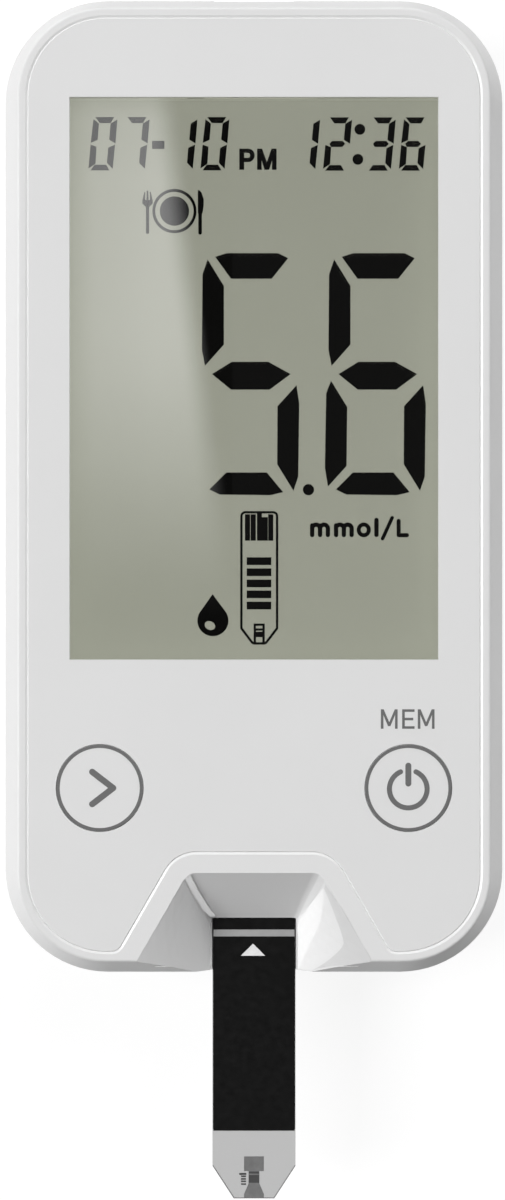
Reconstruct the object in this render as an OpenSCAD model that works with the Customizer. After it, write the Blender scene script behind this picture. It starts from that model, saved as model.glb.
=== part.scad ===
// Hand-held blood glucose meter with a test strip in its port.
// It lies on its back. Origin: middle of the housing's flat back.
// +X to the right, +Y to the display end, +Z out of the display. Millimetres.

/* [Housing] */
// Width across the sides
body_w = 50; // [48:0.5:64]
// Length from the strip end to the display end
body_l = 97.7; // [95:0.1:125]
// Thickness from the back to the front
body_t = 14; // [13.4:0.1:18]
// Corner radius seen from the front
corner_r = 10.3; // [8:0.1:12]
// Wall of both housing halves
wall = 1.6; // [1.2:0.1:1.9]
// Floor of the back half
floor_t = 1.6; // [1.4:0.1:2]
// Height of the front half
front_h = 7.5; // [7:0.1:8]
// How far the front edge leans in from the widest line
draft_in = 1.55; // [1:0.05:1.8]
// Height of the leaning band
draft_h = 3.4; // [2:0.1:4]
// Rounding of the front edge
front_edge_r = 0.35; // [0.1:0.05:0.5]
// Rounding of the back edge
back_edge_r = 2.2; // [1:0.1:3]
// Bevel along the joint of the two halves
seam_bevel = 0.12; // [0.05:0.01:0.2]
// Height of the tongue that joins the two halves
lip_h = 1; // [0.6:0.1:1.2]
// Thickness of that tongue
lip_t = 0.8; // [0.5:0.05:0.9]

/* [Front panel] */
// Thickness of the panel
plate_t = 1; // [0.8:0.1:1.2]
// Flat rim of the housing around the panel
rim_w = 0.9; // [0.5:0.05:1.5]
// Gap between the panel and the rim
plate_gap = 0.03; // [0.02:0.01:0.2]
// Bevel along both sides of that gap
edge_bevel = 0.15; // [0.05:0.01:0.25]
// Rounding of the panel's two lower corners
leg_r = 1.2; // [0.5:0.1:2]
// Thickness of the deck under the panel
deck_t = 0.9; // [0.7:0.1:1.2]

/* [Display] */
// Width of the clear window
window_w = 36.6; // [28:0.1:37]
// Length of the clear window
window_l = 55.8; // [44:0.1:56]
// Distance from the display end of the housing to the window
window_top = 10.4; // [9.8:0.1:13]
// Thickness of the window's flange
flange_t = 0.6; // [0.4:0.05:0.8]
// How far the flange reaches past the visible window
flange_w = 1.3; // [0.9:0.1:1.5]
// Thickness of the foam gasket
gasket_t = 0.35; // [0.2:0.05:0.5]
// Thickness of one polariser film
film_t = 0.2; // [0.1:0.05:0.3]
// Thickness of one display glass
glass_t = 0.7; // [0.5:0.05:0.8]
// Length of the front glass's contact ledge
ledge_l = 3; // [2.4:0.1:3.4]
// Rim of the display holder
holder_rim = 0.9; // [0.7:0.1:1]

/* [Buttons] */
// Diameter of the button holes
button_d = 8.72; // [7:0.01:10.5]
// Distance of the button centres from the middle
button_x = 15.3; // [13:0.1:15.4]
// Distance of the button centres from the strip end
button_y = 18.78; // [17.5:0.01:19]
// Gap around each button cap
cap_gap = 0.06; // [0.05:0.01:0.2]
// Flange that holds the cap under the panel
cap_flange = 0.7; // [0.4:0.05:0.9]
// Button travel
travel = 0.3; // [0.2:0.05:0.4]
// Side of the square switch body
switch_w = 5.2; // [4.5:0.1:6]
// Height of the switch body
switch_h = 1.6; // [1.4:0.1:2]
// Diameter of the switch plunger
plunger_d = 2.4; // [1.8:0.1:3]

/* [Strip port] */
// Distance from the strip end of the housing to the port's upper edge
port_l = 10.36; // [9:0.01:11]
// Half width of the port at its upper edge
port_half = 6.6; // [5.8:0.01:7.5]
// Angle of the port's sides from the length direction
port_angle = 30; // [20:1:34]
// Rounding of the port's corners at the front face
port_r = 1.5; // [0.8:0.1:2]
// Flat band between the port and the panel
port_band = 2; // [1.5:0.05:2.4]
// Wall under the port's sloping faces
port_wall = 1.2; // [1:0.1:1.4]
// Distance from the strip end of the housing to the slot
slot_l = 5.18; // [4.4:0.01:6]

/* [Test strip] */
// Width of the strip
strip_w = 8.4; // [6:0.1:8.6]
// Length of the strip
strip_l = 37; // [32:0.1:40]
// How deep the strip is pushed in past the slot
strip_in = 8.7; // [8:0.1:9]
// Thickness of the base film
base_t = 0.3; // [0.25:0.01:0.35]
// Thickness of the cover film
cover_t = 0.2; // [0.1:0.01:0.25]
// Length of the tapered tip
tip_l = 3.3; // [2:0.1:5]
// Width of the tip's end
tip_w = 4.1; // [3:0.1:5]
// Length of the clear end, measured from the tip
sample_l = 7; // [6:0.1:9]
// Clearance around the strip in its slot
strip_gap = 0.1; // [0.06:0.01:0.15]
// Clearance beside the strip where it enters the housing
entry_gap = 0.05; // [0.04:0.01:0.1]
// How far the cover film stays back from the sides of the base film
cover_in = 0.06; // [0.02:0.01:0.2]

/* [Circuit board] */
// Thickness of the board
board_t = 1; // [0.8:0.1:1.2]
// Gap between the board and the housing's sides
board_gap = 1.5; // [1.3:0.1:2]
// Height of the strip above the board
strip_lift = 1; // [0.9:0.05:1.2]

/* [Power] */
// Diameter of a coin cell
cell_d = 20; // [16:0.1:20]
// Height of a coin cell
cell_h = 3.2; // [1.6:0.1:3.2]
// Gap between the two cells
cell_gap = 0.7; // [0.5:0.1:1]
// Distance of the cells' centres from the display end
cell_y = 23.35; // [22.5:0.05:26]
// Thickness of the battery door
door_t = 1.5; // [1.3:0.1:1.5]
// Gap around the battery door
door_gap = 0.15; // [0.1:0.01:0.25]
// Wall of the battery compartment
tub_wall = 1; // [0.8:0.1:1]

/* [Fasteners] */
// Housing screw diameter
screw_d = 2; // [1.6:0.1:2.2]
// Housing screw head diameter
screw_head_d = 3.3; // [3:0.1:3.6]
// Distance of the housing screws from the sides
screw_x = 6.4; // [6.2:0.1:7]
// Distance of the housing screws from both ends
screw_y = 5.65; // [5.4:0.05:6]
// Board screw diameter
board_screw_d = 1.6; // [1.4:0.1:1.8]

/* [Hidden] */
$fn = 64;

// General clearances
fit = 0.05;
cut = 0.5;

// Heights, from the front face down
split_z = body_t - front_h;
deck_z = body_t - plate_t;
deck_under = deck_z - deck_t;
gasket_top = deck_z - flange_t;
lcd_top = gasket_top - gasket_t;
front_glass_z = lcd_top - film_t - glass_t;
rear_glass_z = front_glass_z - glass_t;
reflector_z = rear_glass_z - film_t;
board_top = body_t - 6;
board_z = board_top - board_t;
holder_top = deck_under - fit;

// Inside of the housing
inner_w = body_w - 2 * wall;
inner_l = body_l - 2 * wall;
inner_r = corner_r - wall;
strip_end = -body_l / 2;
display_end = body_l / 2;

// Front panel
plate_in = draft_in + rim_w + plate_gap;
plate_w = body_w - 2 * plate_in;
plate_l = body_l - 2 * plate_in;
plate_r = corner_r - plate_in;
plate_corner = [plate_w / 2 - plate_r, plate_r - plate_l / 2];

// Display
window_y = display_end - window_top - window_l / 2;
gasket_in = 0.5;
film_w = 0.8;
glass_w = flange_w;
deck_hole = flange_w + 0.2;
holder_fit = 0.1;
holder_shelf = 1.5;
zebra_l = 2;
zebra_margin = 1.5;

// Port and strip
port_top = strip_end + port_l;
slot_y = strip_end + slot_l;
strip_z = board_top + strip_lift;
strip_t = base_t + cover_t;
port_floor = strip_z + strip_t;
slot_half = strip_w / 2 + strip_gap;
entry_half = strip_w / 2 + entry_gap;
slot_corner_r = 0.55;
port_ledge = 0.2;
port_step = 0.05;
strip_top_y = slot_y + strip_in;
strip_tip_y = strip_top_y - strip_l;
guide_end = slot_y + 3.6;
connector_l = 6.4;
connector_y = guide_end + fit;
connector_h = 3;
contact_pitch = 1.6;
contact_count = 5;
contact_w = 0.5;
contact_t = 0.15;
print_t = 0.03;
bare_l = 3.9;

// Buttons
cap_r = button_d / 2 - cap_gap;
cap_flange_r = cap_r + cap_flange;
cap_flange_t = 0.7;
cap_flange_top = deck_z - 0.15;
cap_top_r = 0.05;
cap_hole_gap = 0.3;
stem_r = plunger_d / 2;
switch_top = board_top + switch_h;
plunger_up = 0.55;
plunger_in = 0.45;
lug_w = 1.2;
lug_l = 0.65;
button_line = strip_end + button_y;

// Screws and bosses
screw_px = body_w / 2 - screw_x;
screw_py = body_l / 2 - screw_y;
boss_r = 2.2;
rear_boss_r = 2.5;
head_pocket = 1.65;
head_h = 1.2;
thread_gap = 0.05;
post_r = 1.9;
board_head_h = 0.9;
board_head_r = 1.5;
board_posts = [
    [-11.5, display_end - 5.3],
    [11.5, display_end - 5.3],
    [0, strip_end + 22.2]
];

// Board outline
board_half = inner_w / 2 - board_gap;
board_low = guide_end - fit - 0.1;
board_tab_half = screw_px - rear_boss_r - 0.3;
board_shoulder = screw_py - rear_boss_r - 0.3;
board_high = display_end - wall - 1.2;
pin_r = 0.6;
pin_x = window_w / 2 + glass_w - 0.2;
pin_ys = [window_y - 20, window_y + 20];

// Battery compartment
cell_px = (cell_d + cell_gap) / 2;
cell_py = display_end - cell_y;
cell_z = door_t + 0.2;
tub_half = cell_px + cell_d / 2 + 0.9;
door_top = cell_py + cell_d / 2 + 1.95;
door_low = cell_py - cell_d / 2 - 1.9;
toe_space = 1;
seat_t = 1.8;
door_corner_r = 1.5;
nose_r = door_t / 2;
nose_y = door_low + door_gap + nose_r;
toe_w = 3;
toe_x = tub_half - 2.65;
tongue_w = 7.2;
tongue_slit = 0.7;
tongue_l = 4;

// Data socket
socket_w = 7.4;
socket_h = 2.6;
socket_l = 5.6;
socket_y = display_end - 0.8 - socket_l;
socket_wall = 0.3;

// ---------------------------------------------------------------- helpers

function unit(v) = v / norm(v);
function left_of(v) = [-v[1], v[0]];
function heading(p, i) = unit(p[i + 1] - p[i]);

// Direction and length from a corner of a bent strip to its side, for half of thickness 2
function corner_offset(p, i) =
    let (
        last = len(p) - 1,
        before = left_of(heading(p, max(i - 1, 0))),
        after = left_of(heading(p, min(i, last - 1))),
        middle = unit(before + after)
    )
    middle / (middle * before);

// Outline of sheet metal of thickness t that is bent along the points p
function bent_outline(p, t) = concat(
    [for (i = [0 : len(p) - 1]) p[i] + corner_offset(p, i) * t / 2],
    [for (i = [len(p) - 1 : -1 : 0]) p[i] - corner_offset(p, i) * t / 2]
);

// Points of an arc
function arc(c, r, from, to, steps) = [
    for (i = [0 : steps])
        let (a = from + (to - from) * i / steps)
        c + r * [cos(a), sin(a)]
];

module rounded_rect(w, l, r) {
    square([w, l - 2 * r], center = true);
    square([w - 2 * r, l], center = true);
    for (turn = [0 : 90 : 270]) {
        sideways = turn % 180 == 90;
        x = (sideways ? l : w) / 2 - r;
        y = (sideways ? w : l) / 2 - r;
        rotate(turn)
            translate([x, y])
                intersection() {
                    circle(r);
                    square(r);
                }
    }
}

// Sheet bent in the Y-Z plane, w wide along X, centred
module bent_sheet_yz(p, t, w) {
    translate([-w / 2, 0, 0])
        rotate([90, 0, 90])
            linear_extrude(w)
                polygon(bent_outline(p, t));
}

// Sheet bent in the X-Z plane, w long along Y, centred
module bent_sheet_xz(p, t, w) {
    translate([0, w / 2, 0])
        rotate([90, 0, 0])
            linear_extrude(w)
                polygon(bent_outline(p, t));
}

// A rounded block whose edge follows the profile given as children.
// The profile is drawn with the distance in from the outer face as x and the height as y,
// and reaches in to $depth.
module edge_swept_block(w, l, r) {
    for (turn = [0, 180])
        rotate(turn)
            translate([0, l / 2 - r, 0])
                rotate([90, 0, 0])
                    linear_extrude(l - 2 * r)
                        translate([w / 2, 0])
                            mirror([1, 0])
                                let ($depth = w / 2) children();
    for (turn = [90, 270])
        rotate(turn)
            translate([0, w / 2 - r, 0])
                rotate([90, 0, 0])
                    linear_extrude(w - 2 * r)
                        translate([l / 2, 0])
                            mirror([1, 0])
                                let ($depth = r) children();
    for (turn = [0 : 90 : 270]) {
        sideways = turn % 180 == 90;
        x = (sideways ? l : w) / 2 - r;
        y = (sideways ? w : l) / 2 - r;
        rotate(turn)
            translate([x, y, 0])
                rotate_extrude(angle = 90)
                    translate([r, 0])
                        mirror([1, 0])
                            let ($depth = r) children();
    }
}

// Edge of the front half: upright, then leaning in, then rounded over
module front_edge() {
    lean = atan2(draft_h, draft_in);
    turn_l = front_edge_r * tan(lean / 2);
    over = arc([draft_in + turn_l, body_t - front_edge_r], front_edge_r, 90 + lean, 90, 5);
    polygon(concat(
        [[$depth, split_z], [seam_bevel, split_z], [0, split_z + seam_bevel], [0, body_t - draft_h]],
        over,
        [[$depth, body_t]]
    ));
}

// Edge of the back half: a quarter round
module back_edge() {
    translate([back_edge_r, 0])
        square([$depth - back_edge_r, split_z]);
    polygon([
        [0, back_edge_r], [back_edge_r, back_edge_r], [back_edge_r, split_z],
        [seam_bevel, split_z], [0, split_z - seam_bevel]
    ]);
    translate([back_edge_r, back_edge_r])
        intersection() {
            circle(back_edge_r);
            translate([-back_edge_r, -back_edge_r])
                square(back_edge_r);
        }
}

// ---------------------------------------------------------------- port shapes

// One ring of the port's funnel: t = 0 at the slot, t = 1 at the front face, grown outwards.
// Half of each corner is a flat chamfer. Both ends of the ring reach past the housing.
function port_ring(t, grow, side_steps) =
    let (
        lean = port_angle * t,
        low_half = entry_half + port_ledge,
        half = low_half + (port_half - low_half) * t,
        top = slot_y + (port_top - slot_y) * t + grow,
        r = slot_corner_r + (port_r - slot_corner_r) * t + grow,
        corner = half + grow * tan((90 - lean) / 2),
        inset = r * tan((90 - lean) / 2),
        flat = lean + (90 - lean) / 2,
        centre = [corner - inset, top - r],
        bend = concat([centre + r * [cos(lean), sin(lean)]], arc(centre, r, flat, 90, 6)),
        end_y = strip_end - 4,
        end = [corner + (top - end_y) * tan(lean), end_y],
        side = [for (i = [0 : side_steps - 1]) end + (bend[0] - end) * i / side_steps],
        right = concat(side, bend),
        last = len(right) - 1
    )
    concat(right, [for (i = [last : -1 : 0]) [-right[i][0], right[i][1]]]);

// Solid between rings stacked in z, closed at both ends by a fan of triangles about a point inside
module stacked_rings(rings, heights, inside) {
    count = len(rings[0]);
    levels = len(rings);
    walls = [for (k = [0 : levels - 1]) for (p = rings[k]) [p[0], p[1], heights[k]]];
    hub = len(walls);
    hubs = [for (z = [heights[0], heights[levels - 1]]) [inside[0], inside[1], z]];
    sides = [
        for (k = [0 : levels - 2])
            for (i = [0 : count - 1])
                let (
                    a = k * count + i,
                    b = k * count + (i + 1) % count
                )
                each [[a, a + count, b], [b, a + count, b + count]]
    ];
    top = (levels - 1) * count;
    ends = [
        for (i = [0 : count - 1])
            each [[hub, i, (i + 1) % count], [hub + 1, top + (i + 1) % count, top + i]]
    ];
    polyhedron(concat(walls, hubs), concat(sides, ends));
}

// Funnel of the port from height low to height high, upright below the strip's top
module port_funnel(grow, low, high, levels, side_steps) {
    heights = concat([low], [for (k = [0 : levels]) port_floor + (high - port_floor) * k / levels]);
    share = [for (z = heights) (z - port_floor) / (body_t - port_floor)];
    rings = [for (t = share) port_ring(max(t, 0), grow, side_steps)];
    stacked_rings(rings, heights, [0, (slot_y + strip_end) / 2]);
}

// ---------------------------------------------------------------- panel shapes

// Middle of the rounding between the port's side and the strip end of the panel
function leg_centre() =
    let (
        across = [cos(port_angle), sin(port_angle)],
        along = [sin(port_angle), -cos(port_angle)],
        reach = [port_half, port_top] * across + port_band + leg_r,
        low = leg_r - plate_l / 2,
        level = [(reach - low * across[1]) / across[0], low],
        off = reach - plate_corner * across,
        rest = pow(plate_r - leg_r, 2) - off * off
    )
    level[0] <= plate_corner[0] ? level : plate_corner + off * across + sqrt(rest) * along;

// Outline of the panel, moved inwards
function panel_ring(inset) =
    let (
        leg = leg_centre(),
        away = leg - plate_corner,
        round_leg = leg[0] > plate_corner[0],
        touch = round_leg ? atan2(away[1], away[0]) + 360 : 270,
        notch = [port_half - port_r * tan((90 - port_angle) / 2), port_top - port_r],
        low = arc(plate_corner, plate_r - inset, touch, 360, 16),
        right = concat(
            arc(notch, port_r + port_band + inset, 90, port_angle, 10),
            arc(leg, leg_r - inset, 180 + port_angle, touch, 8),
            [for (i = [round_leg ? 1 : 0 : 16]) low[i]],
            arc([plate_corner[0], -plate_corner[1]], plate_r - inset, 0, 90, 16)
        ),
        last = len(right) - 1
    )
    concat(right, [for (i = [last : -1 : 0]) [-right[i][0], right[i][1]]]);

// Upright block of the panel's outline whose edge turns outwards by flare above height bend
module panel_block(grow, low, bend, high, flare) {
    stacked_rings(
        [panel_ring(-grow), panel_ring(-grow), panel_ring(-grow - flare)],
        [low, bend, high], [0, 0]
    );
}

// ---------------------------------------------------------------- housing

module window_outline(grow) {
    translate([0, window_y])
        square([window_w + 2 * grow, window_l + 2 * grow], center = true);
}

module at_case_screws() {
    for (x = [-screw_px, screw_px])
        for (y = [-screw_py, screw_py])
            translate([x, y, 0])
                children();
}

module at_board_posts() {
    for (p = board_posts)
        translate([p[0], p[1], 0])
            children();
}

module at_buttons() {
    for (side = [-1, 1])
        translate([side * button_x, button_line, 0])
            children();
}

module front_shell_solid() {
    difference() {
        edge_swept_block(body_w, body_l, corner_r)
            front_edge();
        translate([0, 0, split_z - cut])
            linear_extrude(deck_under - split_z + cut)
                rounded_rect(inner_w, inner_l, inner_r);
    }
    at_case_screws()
        translate([0, 0, split_z])
            cylinder(r = boss_r, h = deck_under - split_z + deck_t / 2);
    at_board_posts()
        translate([0, 0, board_top])
            cylinder(r = post_r, h = deck_under - board_top + deck_t / 2);
    // Wall of the funnel and the guide behind its slot
    intersection() {
        union() {
            port_funnel(port_wall, strip_z - 1.3, deck_z, 4, 1);
            translate([-slot_half - port_wall, slot_y - 1, board_top + fit])
                cube([2 * (slot_half + port_wall), guide_end - slot_y + 1, port_floor + 0.8 - board_top]);
        }
        translate([0, 0, split_z])
            linear_extrude(deck_under - split_z + deck_t / 2)
                rounded_rect(body_w - wall, body_l - wall, corner_r - wall / 2);
    }
}

module front_shell() {
    color("whitesmoke")
        difference() {
            front_shell_solid();
            // Pocket of the panel
            panel_block(plate_gap, deck_z, body_t - edge_bevel, body_t + cut, edge_bevel + cut);
            // Opening for the display
            translate([0, 0, deck_under - cut])
                linear_extrude(deck_t + 2 * cut)
                    window_outline(deck_hole);
            // Button openings, each with a keyway
            at_buttons()
                translate([0, 0, deck_under - cut]) {
                    cylinder(r = cap_flange_r + cap_hole_gap, h = deck_t + 2 * cut);
                    translate([0, cap_flange_r, deck_t / 2 + cut])
                        cube([lug_w + 0.3, 2 * (lug_l + 0.3), deck_t + 2 * cut], center = true);
                }
            // Groove for the tongue of the back half
            translate([0, 0, split_z - cut])
                linear_extrude(lip_h + fit + cut)
                    difference() {
                        rounded_rect(
                            inner_w + 2 * (lip_t + fit), inner_l + 2 * (lip_t + fit),
                            inner_r + lip_t + fit
                        );
                        rounded_rect(inner_w - wall, inner_l - wall, inner_r - wall / 2);
                    }
            // Screw holes
            at_case_screws()
                translate([0, 0, split_z - cut])
                    cylinder(d = screw_d + 2 * thread_gap, h = 4.5 + cut);
            at_board_posts()
                translate([0, 0, board_top - cut])
                    cylinder(d = board_screw_d + 2 * thread_gap, h = 3.4 + cut);
            // Funnel of the port and its slot
            port_funnel(0, port_floor - port_step, body_t + cut, 8, 8);
            translate([-entry_half, strip_end - 4, strip_z - strip_gap])
                cube([2 * entry_half, guide_end - strip_end + 4 + cut, strip_t + 2 * strip_gap]);
            // Opening of the data socket
            translate([-socket_w / 2 - 0.3, socket_y - cut, board_top - 0.2])
                cube([socket_w + 0.6, socket_l + 3, socket_h + 0.5]);
        }
}

module faceplate() {
    color("gainsboro")
        difference() {
            panel_block(0, deck_z, body_t - edge_bevel, body_t, -edge_bevel);
            translate([0, 0, deck_z - cut])
                linear_extrude(plate_t + 2 * cut)
                    window_outline(0);
            at_buttons()
                translate([0, 0, deck_z - cut])
                    cylinder(d = button_d, h = plate_t + 2 * cut, $fn = 128);
        }
}

module door_opening() {
    mid = (door_low + door_top) / 2;
    translate([0, mid])
        difference() {
            square([2 * tub_half, door_top - door_low], center = true);
            for (side = [-1, 1])
                translate([side * tub_half, door_top - mid])
                    difference() {
                        square(2 * door_corner_r, center = true);
                        translate([-side * door_corner_r, -door_corner_r])
                            circle(door_corner_r);
                    }
        }
}

module rear_shell_solid() {
    tub_low = door_low - toe_space;
    difference() {
        edge_swept_block(body_w, body_l, corner_r)
            back_edge();
        translate([0, 0, floor_t])
            linear_extrude(split_z)
                rounded_rect(inner_w, inner_l, inner_r);
    }
    // Tongue that fits into the front half
    translate([0, 0, split_z - 1])
        linear_extrude(lip_h + 1)
            difference() {
                rounded_rect(inner_w + 2 * lip_t, inner_l + 2 * lip_t, inner_r + lip_t);
                rounded_rect(inner_w, inner_l, inner_r);
            }
    at_case_screws()
        translate([0, 0, floor_t / 2])
            cylinder(r = rear_boss_r, h = split_z - floor_t / 2);
    // Battery compartment: walls, and a seat with a round pocket for each cell
    translate([0, 0, floor_t / 2])
        linear_extrude(board_z - 0.4 - floor_t / 2)
            difference() {
                translate([-tub_half - tub_wall, tub_low - tub_wall])
                    square([2 * (tub_half + tub_wall), door_top - tub_low + 2 * tub_wall]);
                translate([-tub_half, tub_low])
                    square([2 * tub_half, door_top - tub_low]);
            }
    translate([0, 0, floor_t])
        linear_extrude(seat_t)
            difference() {
                translate([-tub_half - tub_wall / 2, tub_low - tub_wall / 2])
                    square([2 * tub_half + tub_wall, door_top - tub_low + tub_wall]);
                for (side = [-1, 1]) {
                    translate([side * cell_px, cell_py])
                        circle(cell_d / 2 + 0.2);
                    translate([side * toe_x, nose_y])
                        square([toe_w + 0.8, 5.4], center = true);
                    translate([side * (tub_half - 0.5), cell_py])
                        square([1, 5], center = true);
                }
                translate([0, cell_py])
                    square([5, 11], center = true);
                translate([0, door_top])
                    square([tongue_w + 2, 5], center = true);
            }
}

module rear_shell() {
    scoop_r = 5;
    scoop_depth = 0.8;
    color("white")
        difference() {
            rear_shell_solid();
            translate([0, 0, -cut])
                linear_extrude(floor_t + cut)
                    door_opening();
            at_case_screws() {
                translate([0, 0, -cut])
                    cylinder(d = screw_head_d + 0.3, h = head_pocket + cut);
                translate([0, 0, -cut])
                    cylinder(d = screw_d + 0.3, h = split_z + 2 * cut);
            }
            // Finger scoop beside the door's tongue
            translate([0, door_top + 1, scoop_depth - scoop_r])
                sphere(scoop_r);
        }
}

module battery_door() {
    plate_half = tub_half - door_gap;
    plate_end = door_top - door_gap;
    rib_pitch = 0.9;
    color("white")
        difference() {
            union() {
                linear_extrude(door_t)
                    intersection() {
                        translate([-plate_half, nose_y])
                            square([2 * plate_half, plate_end - nose_y]);
                        offset(delta = -door_gap)
                            door_opening();
                    }
                // Rounded nose on the hinge line
                translate([-plate_half, nose_y, nose_r])
                    rotate([0, 90, 0])
                        cylinder(r = nose_r, h = 2 * plate_half);
                // Toes that hook over the housing's floor
                for (side = [-1, 1])
                    translate([side * toe_x - toe_w / 2, nose_y, 0])
                        rotate([90, 0, 90])
                            linear_extrude(toe_w)
                                polygon([
                                    [-0.1, nose_r], [-0.1, floor_t + 0.05], [-nose_r - 0.75, floor_t + 0.05],
                                    [-nose_r - 0.75, floor_t + 0.55], [-nose_r - 0.5, floor_t + 0.85],
                                    [0.8, floor_t + 0.85], [0.8, nose_r]
                                ]);
            }
            // Slits that free the tongue, and its grip grooves
            for (side = [-1, 1])
                translate([side * (tongue_w + tongue_slit) / 2 - tongue_slit / 2, plate_end - tongue_l, -cut])
                    cube([tongue_slit, tongue_l + cut, door_t + 2 * cut]);
            for (i = [0 : 2])
                translate([-tongue_w / 2 + 1, plate_end - 1.3 - i * rib_pitch, -cut])
                    cube([tongue_w - 2, 0.4, cut + 0.3]);
        }
}

module case_screws() {
    recess_w = 1.6;
    recess_t = 0.45;
    color("silver")
        at_case_screws()
            difference() {
                union() {
                    translate([0, 0, head_pocket - head_h])
                        cylinder(d = screw_head_d, h = head_h);
                    translate([0, 0, head_pocket - head_h / 2])
                        cylinder(d = screw_d, h = split_z + 4 - head_pocket + head_h / 2);
                }
                for (turn = [0, 90])
                    rotate(turn)
                        translate([0, 0, head_pocket - head_h])
                            cube([recess_w, recess_t, 1.2], center = true);
            }
}

module board_screws() {
    color("silver")
        at_board_posts()
            difference() {
                union() {
                    translate([0, 0, board_z - board_head_h])
                        cylinder(r = board_head_r, h = board_head_h);
                    translate([0, 0, board_z - board_head_h / 2])
                        cylinder(d = board_screw_d, h = board_t + 3 + board_head_h / 2);
                }
                for (turn = [0, 90])
                    rotate(turn)
                        translate([0, 0, board_z - board_head_h])
                            cube([1.7, 0.4, 0.9], center = true);
            }
}

// ---------------------------------------------------------------- display

module display_window() {
    color("lightgrey", 0.5) {
        translate([0, 0, deck_z])
            linear_extrude(plate_t)
                window_outline(-fit);
        translate([0, 0, gasket_top])
            linear_extrude(flange_t)
                window_outline(flange_w);
    }
}

module display_gasket() {
    color("dimgray")
        translate([0, 0, lcd_top])
            linear_extrude(gasket_t)
                difference() {
                    window_outline(flange_w - 0.1);
                    window_outline(gasket_in);
                }
}

module lcd_front_polariser() {
    color("darkseagreen")
        translate([0, 0, lcd_top - film_t])
            linear_extrude(film_t)
                window_outline(film_w);
}

module lcd_front_glass() {
    low = window_y - window_l / 2 - glass_w - ledge_l;
    color("lightcyan")
        translate([-window_w / 2 - glass_w, low, front_glass_z])
            cube([window_w + 2 * glass_w, window_l + 2 * glass_w + ledge_l, glass_t]);
}

module lcd_rear_glass() {
    color("lightcyan")
        translate([0, 0, rear_glass_z])
            linear_extrude(glass_t)
                window_outline(glass_w);
}

module lcd_reflector() {
    color("silver")
        translate([0, 0, reflector_z])
            linear_extrude(film_t)
                window_outline(film_w);
}

module holder_block(grow, low, high) {
    half = window_w / 2 + glass_w + grow;
    top = window_y + window_l / 2 + glass_w + grow;
    bottom = window_y - window_l / 2 - glass_w - ledge_l - grow;
    translate([-half, bottom, low])
        cube([2 * half, top - bottom, high - low]);
}

module lcd_holder() {
    pocket_z = reflector_z;
    shelf_half = window_w / 2 + glass_w + holder_fit - holder_shelf;
    shelf_top = window_y + window_l / 2 + glass_w + holder_fit - holder_shelf;
    shelf_low = window_y - window_l / 2 + 1;
    zebra_y = window_y - window_l / 2 - glass_w - ledge_l / 2;
    color("white") {
        difference() {
            holder_block(holder_fit + holder_rim, board_top, holder_top);
            holder_block(holder_fit, pocket_z, holder_top + cut);
            translate([-shelf_half, shelf_low, board_top - cut])
                cube([2 * shelf_half, shelf_top - shelf_low, pocket_z - board_top + 2 * cut]);
            translate([-shelf_half, zebra_y - zebra_l / 2 - 0.15, board_top - cut])
                cube([2 * shelf_half, zebra_l + 0.3, pocket_z - board_top + 2 * cut]);
        }
        // Locating pins in the board
        for (x = [-pin_x, pin_x])
            for (y = pin_ys)
                translate([x, y, board_z + 0.2])
                    cylinder(r = pin_r, h = board_t + 0.3, $fn = 32);
    }
}

module lcd_connector() {
    half = window_w / 2 + glass_w - zebra_margin;
    zebra_y = window_y - window_l / 2 - glass_w - ledge_l / 2;
    color("dimgray")
        translate([-half, zebra_y - zebra_l / 2, board_top])
            cube([2 * half, zebra_l, front_glass_z - board_top]);
}

// ---------------------------------------------------------------- electronics

module main_board() {
    color("seagreen")
        translate([0, 0, board_z])
            linear_extrude(board_t)
                difference() {
                    polygon([
                        [-board_tab_half, board_low], [board_tab_half, board_low],
                        [board_half, -board_shoulder], [board_half, board_shoulder],
                        [board_tab_half, board_shoulder], [board_tab_half, board_high],
                        [-board_tab_half, board_high], [-board_tab_half, board_shoulder],
                        [-board_half, board_shoulder], [-board_half, -board_shoulder]
                    ]);
                    for (p = board_posts)
                        translate(p)
                            circle(d = board_screw_d + 0.3);
                    for (x = [-pin_x, pin_x])
                        for (y = pin_ys)
                            translate([x, y])
                                circle(pin_r + 0.05, $fn = 32);
                }
}

// Chip with gull-wing legs on the sides given, standing on the board
module leaded_chip(w, l, h, legs_x, legs_y, pitch) {
    leg = [[0, 0.45 * h], [0.35, 0.45 * h], [0.5, 0.075], [1, 0.075]];
    translate([-w / 2, -l / 2, 0.1])
        cube([w, l, h - 0.1]);
    for (turn = [0, 90, 180, 270]) {
        along_y = turn % 180 == 0;
        count = along_y ? legs_y : legs_x;
        if (count > 0)
            rotate(turn)
                for (i = [0 : count - 1])
                    translate([(along_y ? w : l) / 2 - 0.05, (i - (count - 1) / 2) * pitch, 0])
                        bent_sheet_xz(leg, 0.15, pitch * 0.45);
    }
}

module microcontroller() {
    color("black")
        translate([0, window_y, board_top])
            leaded_chip(10, 10, 1.4, 11, 11, 0.8);
}

module analog_chip() {
    color("black")
        translate([-6.8, button_line + 1.5, board_top])
            leaded_chip(3.9, 4.9, 1.5, 0, 4, 1.27);
}

module quartz_crystal() {
    color("silver")
        translate([-14, window_y - 24, board_z - 1]) {
            rotate([-90, 0, 0])
                cylinder(r = 1, h = 6, $fn = 32);
            for (x = [-0.35, 0.35])
                translate([x, 0.1, 0])
                    bent_sheet_yz([[0, 0], [-0.8, 0], [-1.6, 0.9], [-2.4, 0.9]], 0.2, 0.2);
        }
}

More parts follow.
